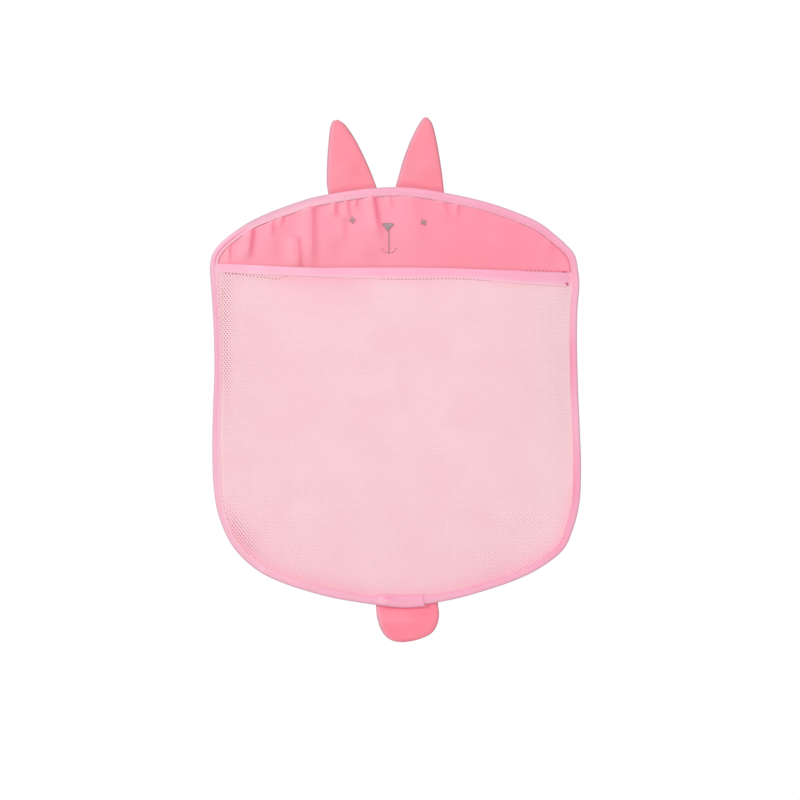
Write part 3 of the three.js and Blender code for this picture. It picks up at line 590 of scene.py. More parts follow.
def cloth_back():
    """The cloth back, sewn into the binding all round; its upper part is the face panel."""
    columns, panel_rows, pocket_rows = 330, 82, 64
    share = np.linspace(-1, 1, columns + 1)
    left, right = TUCK_LEFT + 0.5 * MM, TUCK_RIGHT - 0.5 * MM
    across = share * 0.8 + np.sin(share * math.pi / 2) * 0.2
    x = (left + right) / 2 + across * (right - left) / 2
    low, high = heights(tuck_line, x)
    mouth = np.clip(level(hem_top, x) - 16 * MM, low, high)
    pocket_rise = np.linspace(0, 1, pocket_rows + 1)[:-1, None]
    panel_rise = np.linspace(0, 1, panel_rows + 1)[:, None]
    z = np.vstack((low + (mouth - low) * pocket_rise, mouth + (high - mouth) * panel_rise))
    x = np.broadcast_to(x, z.shape)
    y = cloth_depth(x, z)
    shape = two_skins(x, y, z, CLOTH_THICKNESS / 2)
    piece = make_piece("back_cloth", shape, coral_panel, "bag", ["back_panel"])
    paint(piece, *panel_tones(x, y, z, high))


def panel_tones(x, y, z, high):
    """Shares of the panel's deeper and paler tones: painted shade on fold sides facing right and just above
    the hem, painted light on sides facing left, near the hem and under the binding's lip; paler towards the
    left.
    """
    slope = np.gradient(y, axis=1) / np.gradient(x, axis=1)
    over_hem = (z - level(hem_top, x)) / MM
    under_tape = (high - z) / np.sqrt(1 + np.gradient(high, x[0]) ** 2) / MM - 4.8
    x, z = x / MM, z / MM
    face = smooth(-3, 2, over_hem)
    # Painted shadow of the hem just above its top edge.
    lip_shade = fade(over_hem, 1.3) * (0.3 + 0.5 * smooth(-90, -40, x))
    # Paler towards the left; painted light lifts it against the shade near the hem and under the binding's
    # lip.
    painted_shading = 0.32 * fall(-10, 60, x) + 0.4 * fade(over_hem - 3, 9)
    painted_shading = painted_shading + 0.4 * bell(under_tape, 0, 1.4) * smooth(0, 25, z)
    # Painted shade on the folds' sides that face right, painted light on those that face left.
    deep = np.clip(slope / 0.85, 0, 1) + lip_shade
    return deep * face, (painted_shading + np.clip(-0.8 * slope, 0, 0.4)) * face


def openness(x, z):
    """Where the net is stretched open: beside the left binding and under the hem's left end."""
    drop = (level(hem_bottom, x) - z) / MM
    x, z = x / MM, z / MM
    side = fall(-157, -151, x) * smooth(-150, -105, z)
    return np.clip(side + fade(drop - 2, 5) * fall(-130, -90, x), 0, 1)


def hem_shade(x, z):
    """Painted shadow of the hem on the net below it: a narrow band all along, wider to the left of the
    middle.
    """
    drop = (level(hem_bottom, x) - z) / MM
    wide = smooth(-125, -95, x / MM) * fall(-50, -15, x / MM)
    return 0.45 * wide * fade(drop, 13) + 0.2 * fade(drop, 3)


def corner_pull(x, z):
    """Where the net is drawn along the binding at the lower left, so that its diamonds close to slits."""
    x, z = x / MM, z / MM
    return bell(x, -147, 16) * bell(z + 1.3 * (x + 145), -266, 11)


def strand(origin, direction, lift):
    """The stretch of one yarn line inside the pocket, as a four-sided bar along the net."""
    def places(reach):
        return origin[0] + direction[0] * reach, origin[1] + direction[1] * reach

    reach = np.arange(-STRAND_REACH, STRAND_REACH, 1.5 * MM)
    x, z = places(reach)
    inside = (z > heights(tuck_line, x)[0]) & (z < level(hem_top, x) - 5 * MM)
    inside = inside & (x > TUCK_LEFT + MM) & (x < TUCK_RIGHT - MM)
    kept = reach[inside]
    if len(kept) < 3:
        return None
    count = max(2, round((kept[-1] - kept[0]) / STRAND_STEP) + 1)
    x, z = places(np.linspace(kept[0], kept[-1], count))
    line = np.stack((x, net_depth(x, z) + lift, z), axis=1)
    crown = line - np.array((0, STRAND_HEIGHT, 0))
    pulled = 0.8 if direction[1] > 0 else 0.06
    width = STRAND_WIDTH * (1 - 0.19 * openness(x, z) - pulled * corner_pull(x, z))
    side = np.array((-direction[1], 0, direction[0])) * width[:, None] / 2
    bars = (line - side, line + side, crown + side * 0.45, crown - side * 0.45)
    return np.stack(bars, axis=1).reshape(-1, 3), flipped(tube_faces(4, count))


def from_lip(x, z):
    """How far inside the binding's lower lip a place is."""
    low = heights(tuck_line, x)[0]
    tilt = (heights(tuck_line, x + MM)[0] - heights(tuck_line, x - MM)[0]) / (2 * MM)
    return (z - low) / np.sqrt(1 + tilt**2) - 4.5 * MM


def pocket_net():
    """The net front: two families of knitted yarn lines that cross in diamonds."""
    parts = []
    centre = np.array((0, CREST - BAG_HEIGHT * 0.6))
    half_count = int(FAMILY_REACH / STRAND_SPACING)
    for sign in (-1, 1):
        direction = np.array((math.cos(NET_ANGLE), sign * math.sin(NET_ANGLE)))
        normal = np.array((-direction[1], direction[0]))
        for step in range(-half_count, half_count + 1):
            part = strand(centre + normal * STRAND_SPACING * step, direction, sign * 0.03 * MM)
            if part:
                parts.append(part)
    shape = gather(parts)
    piece = make_piece("pocket_net", shape, net_yarn, "bag", ["front_mesh"], False)
    # Where it is sewn in, the net is drawn deeper near the binding's lip; below the hem it gets the hem's
    # painted shadow, and painted light makes it paler towards the right and where it stands open.
    x, _, z = np.array(shape[0]).T
    inside = from_lip(x, z) / MM
    top = -230 + 110 * smooth(0, 100, x / MM)
    border = (0.5 * fade(inside, 6) + 0.12 * fade(inside, 28)) * fall(top - 40, top, z / MM)
    paint(piece, border + hem_shade(x, z), 0.35 * smooth(100, 150, x / MM) + 0.1 * openness(x, z))


def hem_place(x):
    """The hem's middle in Y, which tucks flat under the binding at both ends."""
    return net_depth(x, level(hem_top, x))


def hem_fullness(up):
    """Share of the hem's half thickness up its height: thinner where its edge is stitched down."""
    return 0.72 + 0.28 * smooth(0, 0.35, up)


def pocket_hem():
    """Tape folded over the net's upper edge."""
    left, right = TUCK_LEFT + 1.5 * MM, TUCK_RIGHT - 1.5 * MM
    columns = 300
    x = np.linspace(left, right, columns + 1)
    ends = smooth(0, 9 * MM, np.minimum(x - left, right - x))
    half = HEM_HALF * (0.4 + 0.6 * ends)
    middle = hem_place(x) + (1 - ends) * 0.15 * MM
    low = level(hem_bottom, x) + 0.25 * MM * ripple(x, 0, 46 * MM, 7)
    high = level(hem_top, x) + 0.2 * MM * ripple(x, 0, 60 * MM, 8)
    crown = 1.3 * MM
    legs = (0, 0.06, 0.25, 0.5, 0.75, 0.94, 1)
    profile = [(-1, up) for up in legs]
    profile += [(-math.cos(a), 1 + math.sin(a)) for a in np.linspace(0.35, math.pi - 0.35, 6)]
    profile += [(1, up) for up in reversed(legs)]
    front, back = [], []
    for side, up in profile:
        over = max(0.0, up - 1)
        z = low + (high - crown - low) * min(up, 1) + over * crown
        puff = HEM_PUFF * math.sin(math.pi * min(up, 1)) * (1 + 0.5 * ripple(x, up, 30 * MM, 9)) * ends
        thick = half * hem_fullness(up) + puff
        front.append(np.stack((x, middle + side * thick, z), axis=1))
        inner_y = middle + side * (thick - 0.4 * MM * ends - 0.1 * MM)
        back.append(np.stack((x, inner_y, z - over * 0.5 * MM), axis=1))
    shape = thick_sheet(np.vstack(front), np.vstack(back), columns, len(profile) - 1)
    piece = make_piece("hem_tape", shape, tape_hem, "bag", ["pocket_hem"])
    ups = np.array([up for _, up in profile] * 2)[:, None]
    deeper = 0.22 * smooth(-90 * MM, -20 * MM, x) + 0.28 * smooth(-20 * MM, 110 * MM, x)
    # Drawn deeper towards the right. Its stitched-down lower edge is painted paler, near the net's colour, to
    # lift the shade along it.
    paint(piece, deeper * smooth(0.05, 0.5, ups), 0.9 * fall(0, 0.4, ups) + 0 * x)


def on_hem(x, up):
    """A place on the hem's front face, up from its lower edge by a share of its height."""
    low, high = level(hem_bottom, x), level(hem_top, x)
    puff = HEM_PUFF * math.sin(math.pi * min(max(up, 0), 1))
    return np.array((x, hem_place(x) - HEM_HALF * hem_fullness(up) - puff, low + (high - low) * up))


def hem_stitches():
    """The hem's slanted stitches over its lower edge; at the left they stray down onto the net."""
    parts = []
    for x in np.arange(POCKET_LEFT + 4 * MM, POCKET_RIGHT - 8 * MM, HEM_PITCH):
        left = fall(-112 * MM, -98 * MM, x)
        middle = smooth(-14 * MM, -4 * MM, x) * fall(78 * MM, 92 * MM, x)
        if max(left, middle) < 0.05:
            continue
        stray = (0.6 + 3.2 * smooth(-160 * MM, -104 * MM, x)) * MM * left
        radius = (0.16 + 0.2 * max(left, middle)) * MM
        z = level(hem_bottom, x) - stray
        ends = []
        for dx, dz in ((-0.7 * MM, 1.0 * MM), (0.8 * MM, -0.6 * MM)):
            y = net_depth(x + dx, z + dz)
            if dz > stray:
                y = min(y, on_hem(x, 0)[1])
            ends.append((x + dx, y - 0.15 * MM, z + dz))
        parts.append(capsule(*ends, radius, (0, -0.15 * MM, 0), 6, 4))
    make_piece("hem_seam", gather(parts), thread_mauve, "bag", ())


def hem_end_stitches():
    """The stitches round the hem's upper edge at its right end, in a dark thread that also paints the shade
    in their holes, and the knot beside the binding.
    """
    parts = []
    end = POCKET_RIGHT - 1.2 * MM
    for x in np.arange(HEM_END_START, end - 6 * MM, HEM_END_PITCH):
        start = on_hem(x, 0.93)
        across = 2 * (hem_place(x) - start[1])
        radius = (0.26 + 0.12 * smooth(HEM_END_START, HEM_END_START + 14 * MM, x)) * MM
        parts.append(capsule(start, start + (0.4 * MM, across, 0), radius, (0, 0, 1.6 * MM), 6, 7))
    # Each thread of the knot: its two ends in millimetres from the hem's end and up the hem, and its radius
    for start, foot, last, tip, radius in (
        (6, 1.0, 1.4, 1.03, 0.55), (3.6, 0.24, 0, 0.15, 0.45),
        (1.6, 0.31, 0, 0.15, 0.5), (0, 0.15, 1.2, 0.05, 0.45),
    ):
        ends = on_hem(end - start * MM, foot), on_hem(end - last * MM, tip)
        parts.append(capsule(*ends, radius * MM, (0, -0.3 * MM, 0), 6, 4))
    make_piece("hem_end_seam", gather(parts), thread_red, "bag", ())


def binding_widths(points):
    """The tape's visible width: narrow at the sides, wider at the top and bottom, widest at its lap."""
    x, z = points.T / MM
    top = 2.2 * smooth(5, 45, z)
    bottom = (2 - 1.2 * smooth(20, 90, x)) * fall(-322, -262, z)
    lap = 3.2 * smooth(-26, -10, x) * fall(20, 40, x) * (z < MIDDLE / MM)
    tucks = 0.5 * ripple(x, z, 33, 21) * fall(-322, -282, z)
    corner = 2 * bell(x, -149, 22) * bell(z, -280, 24)
    shoulder = 1.5 * bell(x, -131, 23) * (z > 5)
    return (6.6 + top + bottom + lap + tucks - corner - shoulder) * MM


def binding_profile(depth_steps=10, turn_steps=9):
    """Half thickness and inward depth round the tape's section, from the front lip to the back lip."""
    legs = np.linspace(BINDING_WIDTH, BINDING_HALF * 0.9, depth_steps)
    turns = np.linspace(0, math.pi, turn_steps + 2)[1:-1]
    profile = [(-BINDING_HALF, depth) for depth in legs]
    profile += [(-BINDING_HALF * math.cos(a), BINDING_HALF * 0.9 * (1 - math.sin(a))) for a in turns]
    return profile + [(BINDING_HALF, depth) for depth in legs[::-1]]


def tape_half(depth):
    """Half the folded tape's thickness: round at its outer fold, thin where its lip is stitched down."""
    share = np.clip((depth - BINDING_HALF) / BINDING_WIDTH, 0, 1)
    swell = 0.16 * MM * np.sin(np.pi * np.minimum(1, depth / BINDING_WIDTH))
    return BINDING_HALF * (1 - 0.5 * smooth(0.1, 0.74, share)) + swell


def tuck_share(points, across):
    """A crease along the tape at the upper left corner, where the hem's end is sewn in under it."""
    x, z = points.T / MM
    return smooth(-16, -6, z) * fall(17, 30, z) * (x < 0) * bell(across, 0.6, 0.13)


def tape_tones(points, across):
    """Shares of the tape's painted tones, at a share of its width from its fold to its lip: deeper, paler,
    and a greyer shade on its rounded fold.
    """
    x, z = points.T / MM
    at_bottom = z < MIDDLE / MM
    foot = fall(-340, -250, z)
    side = smooth(150, 165, x)
    lip = smooth(0.6, 0.85, across)
    tuck = 0.9 * tuck_share(points, across) + 0.8 * at_bottom * bell(x, -6.5, 4.5) * bell(across, 0.8, 0.09)

    # Paler: painted light at the left and on the lip, where it lifts the lip's shadow; paler in waves along
    # the right side; shine is a painted highlight on the lap
    inner = 0.5 - 0.42 * smooth(-200, -170, z) * fall(-50, -25, z)
    edges = inner + (1 - inner) * max(smooth(0.45, 0.8, across), 0.8 * fall(0.1, 0.3, across))
    waves = np.cos((z + 105) / 117 * math.tau)
    pale = 0.8 * fall(-110, 5, x) * edges * (1 - 0.4 * foot * across)
    pale = pale + side * np.clip(-waves, 0, 1) * (0.55 - 0.3 * across)
    pale = pale + 0.35 * lip * (1 - side) * (1 - foot)
    shine = at_bottom * bell(x, -14, 4) * bell(across, 0.55, 0.25)
    knot = at_bottom * bell(x, -128, 3) * bell(across, 0.4, 0.3)

    # Deeper: painted shade towards the right, at the lower right corner, on the lap and in its tucks
    lap = smooth(-26, -12, x) * fall(24, 34, x) * at_bottom
    deep = smooth(20, 110, x) * (0.1 + 0.25 * across) * (1 - foot) + 0.14 * foot + tuck
    deep = deep + side * np.clip(waves, 0, 1) * (0.1 + 0.6 * across) * fall(-15, 0, z)
    deep = deep + lap * (0.3 - 0.15 * across) * (1 - shine) + 0.45 * bell(x, 158, 24) * bell(z, -277, 24)

    # Greyer painted shade on its rounded outer fold, but not where the ears lie behind it
    crest = smooth(15, 35, z) * fall(-68, -60, x)
    ears = smooth(-64, -60, x) * fall(-25, -21, x) + smooth(0, 4, x) * fall(46, 50, x)
    painted_shading = 0.6 * fall(0.1 + 0.15 * crest, 0.32 + 0.2 * crest, across) * (1 - 0.6 * fall(-160, -140, x))
    painted_shading = painted_shading * (1 - 0.45 * foot) * (1 - ears * (z > 0)) + 0.2 * fall(-20, 10, z) * (1 - lip) + 0.1 * foot
    return deep, (pale + shine + knot) * (1 - tuck), painted_shading


def edge_binding():
    """Bias tape round the whole edge; its two ends lap at the bottom."""
    at_lap = np.where(outline[:, 1] < MIDDLE, np.abs(outline[:, 0] - 6 * MM), np.inf)
    steps = 620
    run = np.linspace(0, outline_length + LAP_LENGTH, steps + 1)
    points, inward = outline_at(outline_places[int(np.argmin(at_lap))] - LAP_LENGTH / 2 + run)
    x = points[:, 0]
    over = fall(LAP_LENGTH - 8 * MM, LAP_LENGTH, run)
    outward = over * (0.3 + 1.7 * fall(0, LAP_LENGTH, run)) * MM
    wider = binding_widths(points) / BINDING_WIDTH - 1
    wander = 0.28 * MM * ripple(run, 1, 70 * MM, 10) + 0.12 * MM * ripple(run, 0, 19 * MM, 11)
    slack = 1 + 1.6 * smooth(-22 * MM, -12 * MM, x) * fall(0, 20 * MM, x) * over
    front, back, shares = [], [], []
    for y, depth in binding_profile():
        across = min(1.0, depth / BINDING_WIDTH)
        lip = np.clip((depth - BINDING_HALF) / BINDING_WIDTH, 0, 1)
        pucker = 0.16 * MM * ripple(run, depth, 7.5 * MM, 12) * (0.3 + lip) * slack
        crease = 0.9 * MM * bell(run + depth * 1.5, LAP_LENGTH - 5 * MM, 2 * MM)
        crease = (crease - 0.5 * MM * tuck_share(points, across)) * (y < 0)
        out_y = y * (tape_half(depth) + pucker + crease + 0.55 * MM * over) / BINDING_HALF
        reach = depth * (1 + wider * lip) + 1.4 * wander * lip - outward * (1 - lip)
        inner_reach = reach + TAPE_THICKNESS * max(0.0, 1 - depth / BINDING_HALF)
        inner_y = out_y - y * TAPE_THICKNESS / BINDING_HALF
        for skin, skin_reach, skin_y in ((front, reach, out_y), (back, inner_reach, inner_y)):
            place = points + inward * skin_reach[:, None]
            skin.append(np.stack((place[:, 0], PLANE + skin_y, place[:, 1]), axis=1))
        shares.append(tape_tones(points, across))
    shape = thick_sheet(np.vstack(front), np.vstack(back), steps, len(front) - 1)
    piece = make_piece("binding_tape", shape, tape_pink, "bag", ["edge_binding"])
    paint(piece, *(np.array(share) for share in zip(*shares)))


def binding_stitches():
    """The row of stitches that holds the binding, near its lip, on the front and on the back."""
    parts = []
    starts = np.arange(0, outline_length - BINDING_PITCH, BINDING_PITCH)
    rows = []
    for along in (starts, starts + BINDING_STITCH):
        points, inward = outline_at(along)
        rows.append(points + inward * (binding_widths(points) - BINDING_SEAM_INSET)[:, None])
    for side in (-1, 1):
        y = PLANE + side * (tape_half(BINDING_WIDTH - BINDING_SEAM_INSET) + 0.1 * MM)
        for (ax, az), (bx, bz) in zip(*rows):
            parts.append(capsule((ax, y, az), (bx, y, bz), SEAM_RADIUS, (0, side * 0.1 * MM, 0), 5, 3))
    make_piece("binding_seam", gather(parts), thread_pink, "bag", ())


def flap_tones(sizes, x, u, t):
    """Shares of a flap's painted tones: painted shade at its right edge, along its rim, in its pinch and at
    an ear's foot under the binding; painted light low at its left; a greyer painted shade along its rim.
    """
    # u runs across the flap from -1 to 1, and t up it from 0 to 1.
    wide = x[:, -1:] - x[:, :1]
    from_left, from_right = (1 + u) / 2 * wide, (1 - u) / 2 * wide
    from_rim = np.minimum(from_left, (1 - t) * sizes["height"])
    # Painted shadow at an ear's foot, where it goes in under the binding.
    foot = 0.42 * fall(0.02, 0.1, t) * (sizes["up"] > 0)
    pinch_shade = sizes["pinch_shade"] * bell(u, -0.6, 0.3) * bell(t, 0.38, 0.15)
    deep = fall(0, 2.4 * MM, from_right) + 0.55 * fall(0, 1.6 * MM, from_rim) + pinch_shade
    # Painted light low on the flap's left side.
    pale = 0.32 * smooth(0.07, 0.13, t) * fall(0.25, 0.5, t) * fall(-0.4, 0.5, u)
    return np.maximum(deep, foot), pale, 0.85 * fall(0.4 * MM, 5 * MM, from_rim)


def flap(name, sizes, body, material):
    """An ear or the tail: two cloth skins over wadding, thin at the seam, tucked behind the binding."""
    columns, rows = 44, 64
    start, width, height, up = (sizes[k] for k in ("start", "width", "height", "up"))
    rim, side = inset_line(0), int(up > 0)
    ends = heights(rim, np.array([start, start + width]))[side]
    shares = np.linspace(0, 1, 9)
    bulge = heights(rim, start + shares * width)[side] - (ends[0] + (ends[1] - ends[0]) * shares)
    seat = (bulge.max() if up > 0 else bulge.min()) + up * FLAP_SEAT
    rise = np.linspace(-FLAP_TUCK / height, 1, rows + 1)
    inside = np.clip(rise, 0, 1)
    left, right = open_spline(sizes["left"], inside), open_spline(sizes["right"], inside)
    across = np.linspace(0, 1, columns + 1)
    x = start + width * (left[:, :1] + (right[:, :1] - left[:, :1]) * across)
    climb = left[:, 1:] + (right[:, 1:] - left[:, 1:]) * across + np.minimum(rise, 0)[:, None]
    base = ends[0] + (ends[1] - ends[0]) * (x - start) / width + seat
    hinge = ends.mean() + seat
    z = base + (hinge + up * height - base) * climb
    u = across * 2 - 1
    t = inside[:, None]
    loft = (1 - np.abs(u) ** 2.6) ** 0.75 * smooth(0, 0.4, t) * (1 - 0.97 * smooth(0.72, 1, t))
    crease = 0.5 * MM * ripple(x, z * 0.35, 13 * MM, 14) * fall(0.1, 0.6, t)
    dimple = 0.28 * MM * ripple(x, z, 17 * MM, 15)
    seam_half = FLAP_SEAM_HALF * (0.35 + 0.65 * np.clip((1 - np.abs(u)) * 12, 0, 1))
    half = seam_half + (FLAP_LOFT + crease + dimple) * loft
    plane = PLANE + FLAP_TUCK_DEPTH * fall(0.02, 0.34, t)
    points, faces = two_skins(x, plane, z, half)
    if up < 0:
        faces = flipped(faces)
    nodes = [f"{body}_{layer}" for layer in ("front", "back", "padding")]
    piece = make_piece(name, (points, faces), material, None, nodes)
    paint(piece, *(np.tile(share.ravel(), 2) for share in flap_tones(sizes, x, u, t)))
    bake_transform(piece)


def on_cloth(x, z, lift):
    """A place this far in front of the face panel."""
    return np.array((x, cloth_depth(x, z) - CLOTH_THICKNESS / 2 - lift, z))


def place_of(shares):
    """Where a piece of embroidery lies on the bag."""
    return shares[0] * HALF_WIDTH, CREST - shares[1] * BAG_HEIGHT


def stitched_line(points, radius, lift, cover=1.0):
    """Short stitches along a line on the face panel; each covers this share of its step."""
    parts = []
    for (ax, az), (bx, bz) in zip(points, points[1:]):
        bx, bz = ax + (bx - ax) * cover, az + (bz - az) * cover
        parts.append(capsule(on_cloth(ax, az, lift), on_cloth(bx, bz, lift), radius, (0, -0.15 * MM, 0)))
    return parts


def eye(name, shares, node, turn):
    """An eye: long stitches that cross in one point, like a small star."""
    x, z = place_of(shares)
    parts = []
    for k in range(4):
        angle = turn + k * math.pi / 4
        reach = EYE_RADIUS * (1.12 if k % 2 == 0 else 0.76)
        dx, dz = reach * math.cos(angle), reach * math.sin(angle)
        lift = (0.25 + 0.12 * k) * MM
        ends = on_cloth(x - dx, z - dz, lift), on_cloth(x + dx, z + dz, lift)
        parts.append(capsule(*ends, THREAD_RADIUS * 1.15, (0, -0.3 * MM, 0), 8, 7))
    make_piece(name, gather(parts), thread_grey, "bag", [node])


def nose():
    """The nose: upright satin stitches side by side that fill a round-cornered triangle."""
    x, z = place_of(NOSE)
    z += NOSE_HEIGHT * 0.43
    count = 17
    parts = []
    for k in range(count):
        across = (k + 0.5) / count * 2 - 1
        drop = NOSE_HEIGHT * (1 - abs(across)) ** 0.9 * 0.97 + 0.6 * MM
        place = x + across * NOSE_WIDTH / 2
        top = z - 0.5 * MM * abs(across) ** 3
        ends = on_cloth(place, top, 0.3 * MM), on_cloth(place, top - drop, 0.3 * MM)
        parts.append(capsule(*ends, NOSE_WIDTH / count * 0.9, (0, -0.35 * MM, 0), 8, 7))
    make_piece("nose_satin", gather(parts), thread_grey, "bag", ["nose"])


def mouth():
    """The mouth: a stitched stem from the nose that parts into two small curves."""
    x, z = place_of(MOUTH)
    z -= 0.8 * MM
    nose_foot = place_of(NOSE)[1] - NOSE_HEIGHT * 0.57
    stem = [(x, z + (nose_foot - z) * k / 7) for k in range(8)]
    parts = stitched_line(stem, THREAD_RADIUS * 0.95, 0.3 * MM)
    for side in (-1, 1):
        turns = np.linspace(0, math.pi / 2, 5)
        arc = [(x + side * SMILE_WIDTH * math.sin(a), z + SMILE_RISE * (1 - math.cos(a))) for a in turns]
        parts += stitched_line(arc, THREAD_RADIUS, 0.32 * MM, 0.5)
    make_piece("mouth_stitch", gather(parts), thread_grey, "bag", ["mouth"])


def hang_loop(side, sign):
    """A loop of woven tape over the hook's rod, with both ends stitched flat to the bag's back."""
    low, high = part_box(f"hang_loop_{side}")
    centre = sign * CUP_SPACING / 2
    arch = high.z - LOOP_RADIUS - LOOP_WIDTH
    hang_y, sewn_y = high.y - LOOP_HALF, low.y + LOOP_HALF
    slope_end, slope_top = low.z + 12 * MM, arch - 6 * MM
    legs = np.linspace(low.z, arch, 26)[:-1]
    line = [(-1, 0, z) for z in legs]
    line += [(-math.cos(a), math.sin(a), arch) for a in np.linspace(0, math.pi, 25)]
    line += [(1, 0, z) for z in legs[::-1]]
    across, rise, foot = np.array(line).T
    skins = [], []
    for share in np.linspace(0, 1, 9):
        radius = LOOP_RADIUS + LOOP_WIDTH * share
        half = (0.42 + 0.26 * math.sin(math.pi * share)) * MM
        z = rise * radius + foot
        y = sewn_y + (hang_y - sewn_y) * smooth(slope_end, slope_top, z)
        for skin, way in zip(skins, (-1, 1)):
            skin.append(np.stack((centre + across * radius, y + way * half, z), axis=1))
    shape = thick_sheet(*(np.vstack(skin) for skin in skins), len(line) - 1, 8)
    piece = make_piece(f"loop_tape_{side}", shape, tape_loop, None, [f"hang_loop_{side}"])
    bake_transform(piece)
    loop_stitches(side, centre, sewn_y + 0.72 * MM, low.z + 6 * MM)


def loop_stitches(side, centre, y, z):
    """The boxed cross of stitches at each end of a loop."""
    half_wide, half_high = LOOP_WIDTH / 2 - 1.2 * MM, 4.2 * MM
    corners = [np.array((a * half_wide, 0, b * half_high)) for a, b in ((-1, -1), (1, -1), (1, 1), (-1, 1))]
    runs = [(corners[k], corners[(k + 1) % 4]) for k in range(4)]
    runs += [(corners[0], corners[2]), (corners[1], corners[3])]
    parts = []
    for leg in (-1, 1):
        middle = np.array((centre + leg * (LOOP_RADIUS + LOOP_WIDTH / 2), y, z))
        for start, end in runs:
            count = max(2, round(np.linalg.norm(end - start) / LOOP_PITCH))
            for k in range(count):
                ends = (middle + start + (end - start) * s for s in (k / count, (k + 0.75) / count))
                parts.append(capsule(*ends, 0.2 * MM, (0, 0.1 * MM, 0), 5, 3))
    make_piece(f"loop_stitches_{side}", gather(parts), thread_pink, "bag", ())


def turned(profile, centre, steps=64):
    """A form turned about a line along Y; the profile gives its radius and how far it is from the wall."""
    points = []
    for radius, depth in profile:
        for angle in np.arange(steps) * math.tau / steps:
            points.append((centre + radius * math.cos(angle), -depth, radius * math.sin(angle)))
    return points, flipped(tube_faces(steps, len(profile)))


def suction_cup(side, sign):
    """The moulded cup: a thin domed lip that thickens to a neck."""
    hollow = [(0.02, 0.5), (0.25, 0.485), (0.45, 0.42), (0.62, 0.33), (0.8, 0.2), (0.9, 0.09)]
    dome = [(0.95, 0.2), (0.84, 0.42), (0.68, 0.61), (0.5, 0.78), (0.38, 0.9), (0.3, 0.98)]
    profile = [(r * CUP_RADIUS, d * CUP_DEPTH) for r, d in hollow]
    profile += [(CUP_RADIUS - 1.4 * MM, 0), (CUP_RADIUS - 0.2 * MM, 0), (CUP_RADIUS, 0.4 * MM)]
    profile += [(r * CUP_RADIUS, d * CUP_DEPTH) for r, d in dome]
    end = -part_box(f"suction_cup_{side}")[0].y
    neck = [(5.1, CUP_DEPTH + 0.4 * MM), (5, end - 0.4 * MM), (4.6, end), (0.3, end)]
    shape = turned(profile + [(r * MM, d) for r, d in neck], sign * CUP_SPACING / 2)
    make_piece(f"cup_{side}", shape, cup_plastic, "wall_hooks", [f"suction_cup_{side}"])


def hook(side, sign):
    """The hook: a moulded cap over the cup's neck and an upturned rod that carries the loop."""
    low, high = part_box(f"hook_{side}")
    centre = sign * CUP_SPACING / 2
    back, cap = -high.y, 7 * MM
    bore, radius, edge = 5.3 * MM, 9.5 * MM, 1.4 * MM
    profile = [(0.2 * MM, 4.3 * MM), (bore, 4.3 * MM), (bore, 0.2 * MM), (bore + 0.3 * MM, 0)]
    profile += [(radius - edge, 0), (radius - 0.5 * MM, 0.4 * MM), (radius, edge), (radius, cap - edge)]
    profile += [(radius - 0.5 * MM, cap - 0.4 * MM), (radius - edge, cap), (0.2 * MM, cap)]
    cap_part = turned([(r, back + depth) for r, depth in profile], centre)
    rod = 2.2 * MM
    front = -low.y - rod
    drop, bend = -4 * MM, 4 * MM
    route = [(y, drop) for y in np.linspace(back + cap - rod, front - bend, 6)]
    for a in np.linspace(0.15, 1.571, 9):
        route.append((front - bend + bend * math.sin(a), drop + bend - bend * math.cos(a)))
    route += [(front, z) for z in np.linspace(drop + bend + 1 * MM, 5 * MM - rod * 0.4, 3)]
    rings = []
    for k, place in enumerate(route):
        along = np.subtract(route[min(k + 1, len(route) - 1)], route[max(k - 1, 0)])
        rings.append((*place, *(along / np.linalg.norm(along)), rod))
    y, z = route[-1]
    for share, rise in ((0.92, 0.2), (0.7, 0.34), (0.35, 0.4)):
        rings.append((y, z + rise * rod, 0, 1, rod * share))
    sides = 20
    points = []
    for y, z, along_y, along_z, wide in rings:
        for angle in np.arange(sides) * math.tau / sides:
            lift = wide * math.cos(angle)
            points.append((centre + wide * math.sin(angle), along_z * lift - y, z + along_y * lift))
    shape = gather([cap_part, (points, tube_faces(sides, len(rings)))])
    make_piece(f"hook_form_{side}", shape, hook_plastic, "wall_hooks", [f"hook_{side}"])


cloth_back()
pocket_net()
pocket_hem()
hem_stitches()
hem_end_stitches()
edge_binding()
binding_stitches()
flap("ear_left", LEFT_EAR, "ear_left", coral_flap)
flap("ear_right", RIGHT_EAR, "ear_right", coral_flap)
flap("tail_flap", TAIL, "tail", coral_tail)
eye("eye_star_left", LEFT_EYE, "eye_left", 0.1)
eye("eye_star_right", RIGHT_EYE, "eye_right", 0.5)
nose()
mouth()
for side, sign in (("left", -1), ("right", 1)):
    hang_loop(side, sign)
    suction_cup(side, sign)
    hook(side, sign)


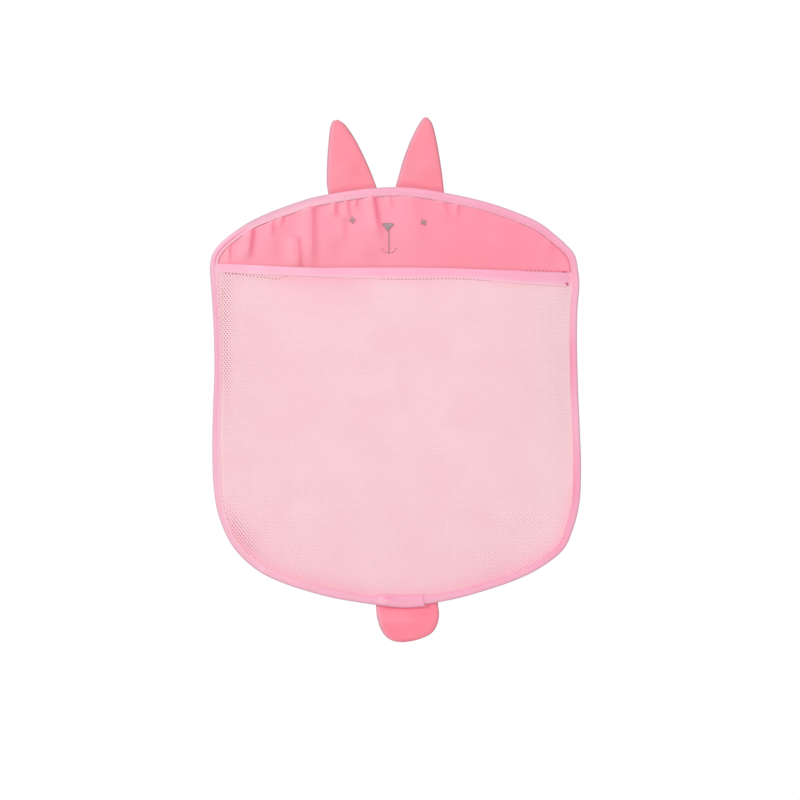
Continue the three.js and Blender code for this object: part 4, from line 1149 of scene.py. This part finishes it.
def studio():
    """A pale floor under the bag, a white surround and two soft lamps."""
    floor_z, floor_half = -620 * MM, 600 * MM
    corners = [(a * floor_half, b * floor_half, floor_z) for a, b in ((-1, -1), (1, -1), (1, 1), (-1, 1))]
    material, _, shader = new_material("painted_floor_white", Roughness=0.9)
    shader.inputs["Base Color"].default_value = linear("#f4f3f2")
    mesh = bpy.data.meshes.new("floor")
    mesh.from_pydata(corners, [], [(0, 1, 2, 3)])
    mesh.materials.append(material)
    floor = new_object("floor", mesh)

    world = bpy.data.worlds.new("white_surround")
    bpy.context.scene.world = world
    world.use_nodes = True
    tree = world.node_tree
    tree.nodes.clear()
    rays = add(tree, "ShaderNodeLightPath").outputs
    seen = rays["Is Camera Ray"]
    for kind in ("Is Glossy Ray", "Is Transmission Ray"):
        seen = add(tree, "ShaderNodeMath", {"operation": "MAXIMUM"}, {0: seen, 1: rays[kind]}).outputs[0]
    lit = add(tree, "ShaderNodeBackground", {"Color": linear("#fbfcff"), "Strength": 0.5})
    white = add(tree, "ShaderNodeBackground", {"Color": (1, 1, 1, 1), "Strength": 1.0})
    mix = add(tree, "ShaderNodeMixShader", (), {0: seen, 1: lit.outputs[0], 2: white.outputs[0]})
    add(tree, "ShaderNodeOutputWorld", (), {"Surface": mix.outputs[0]})

    for name, place, power, size in (
        ("key_lamp", (-2.05, -2.0, 0.85), 30.0, 1.0),
        ("fill_lamp", (1.2, -2.65, 0.3), 30.5, 1.8),
    ):
        lamp = bpy.data.lights.new(name, "AREA")
        lamp.energy = power
        lamp.size = size
        # A lamp shines along its own -Z.
        aim = Vector((0, PLANE, MIDDLE)) - Vector(place)
        new_object(name, lamp, place, aim.to_track_quat("-Z", "Y").to_euler())


def front_camera():
    """A long lens straight in front; the picture is square and the bag's plane is 757 mm wide in it."""
    picture_width = 757 * MM
    centre_x, centre_drop = 4.7 * MM, 201.5 * MM
    distance = 3.0
    sensor = 36.0
    camera = bpy.data.cameras.new("front_camera")
    camera.sensor_width = sensor
    camera.lens = sensor * distance / picture_width
    place = (centre_x, PLANE - distance, CREST - centre_drop)
    bpy.context.scene.camera = new_object("front_camera", camera, place, (math.pi / 2, 0, 0))


studio()
front_camera()
bpy.context.scene.view_settings.view_transform = "Standard"
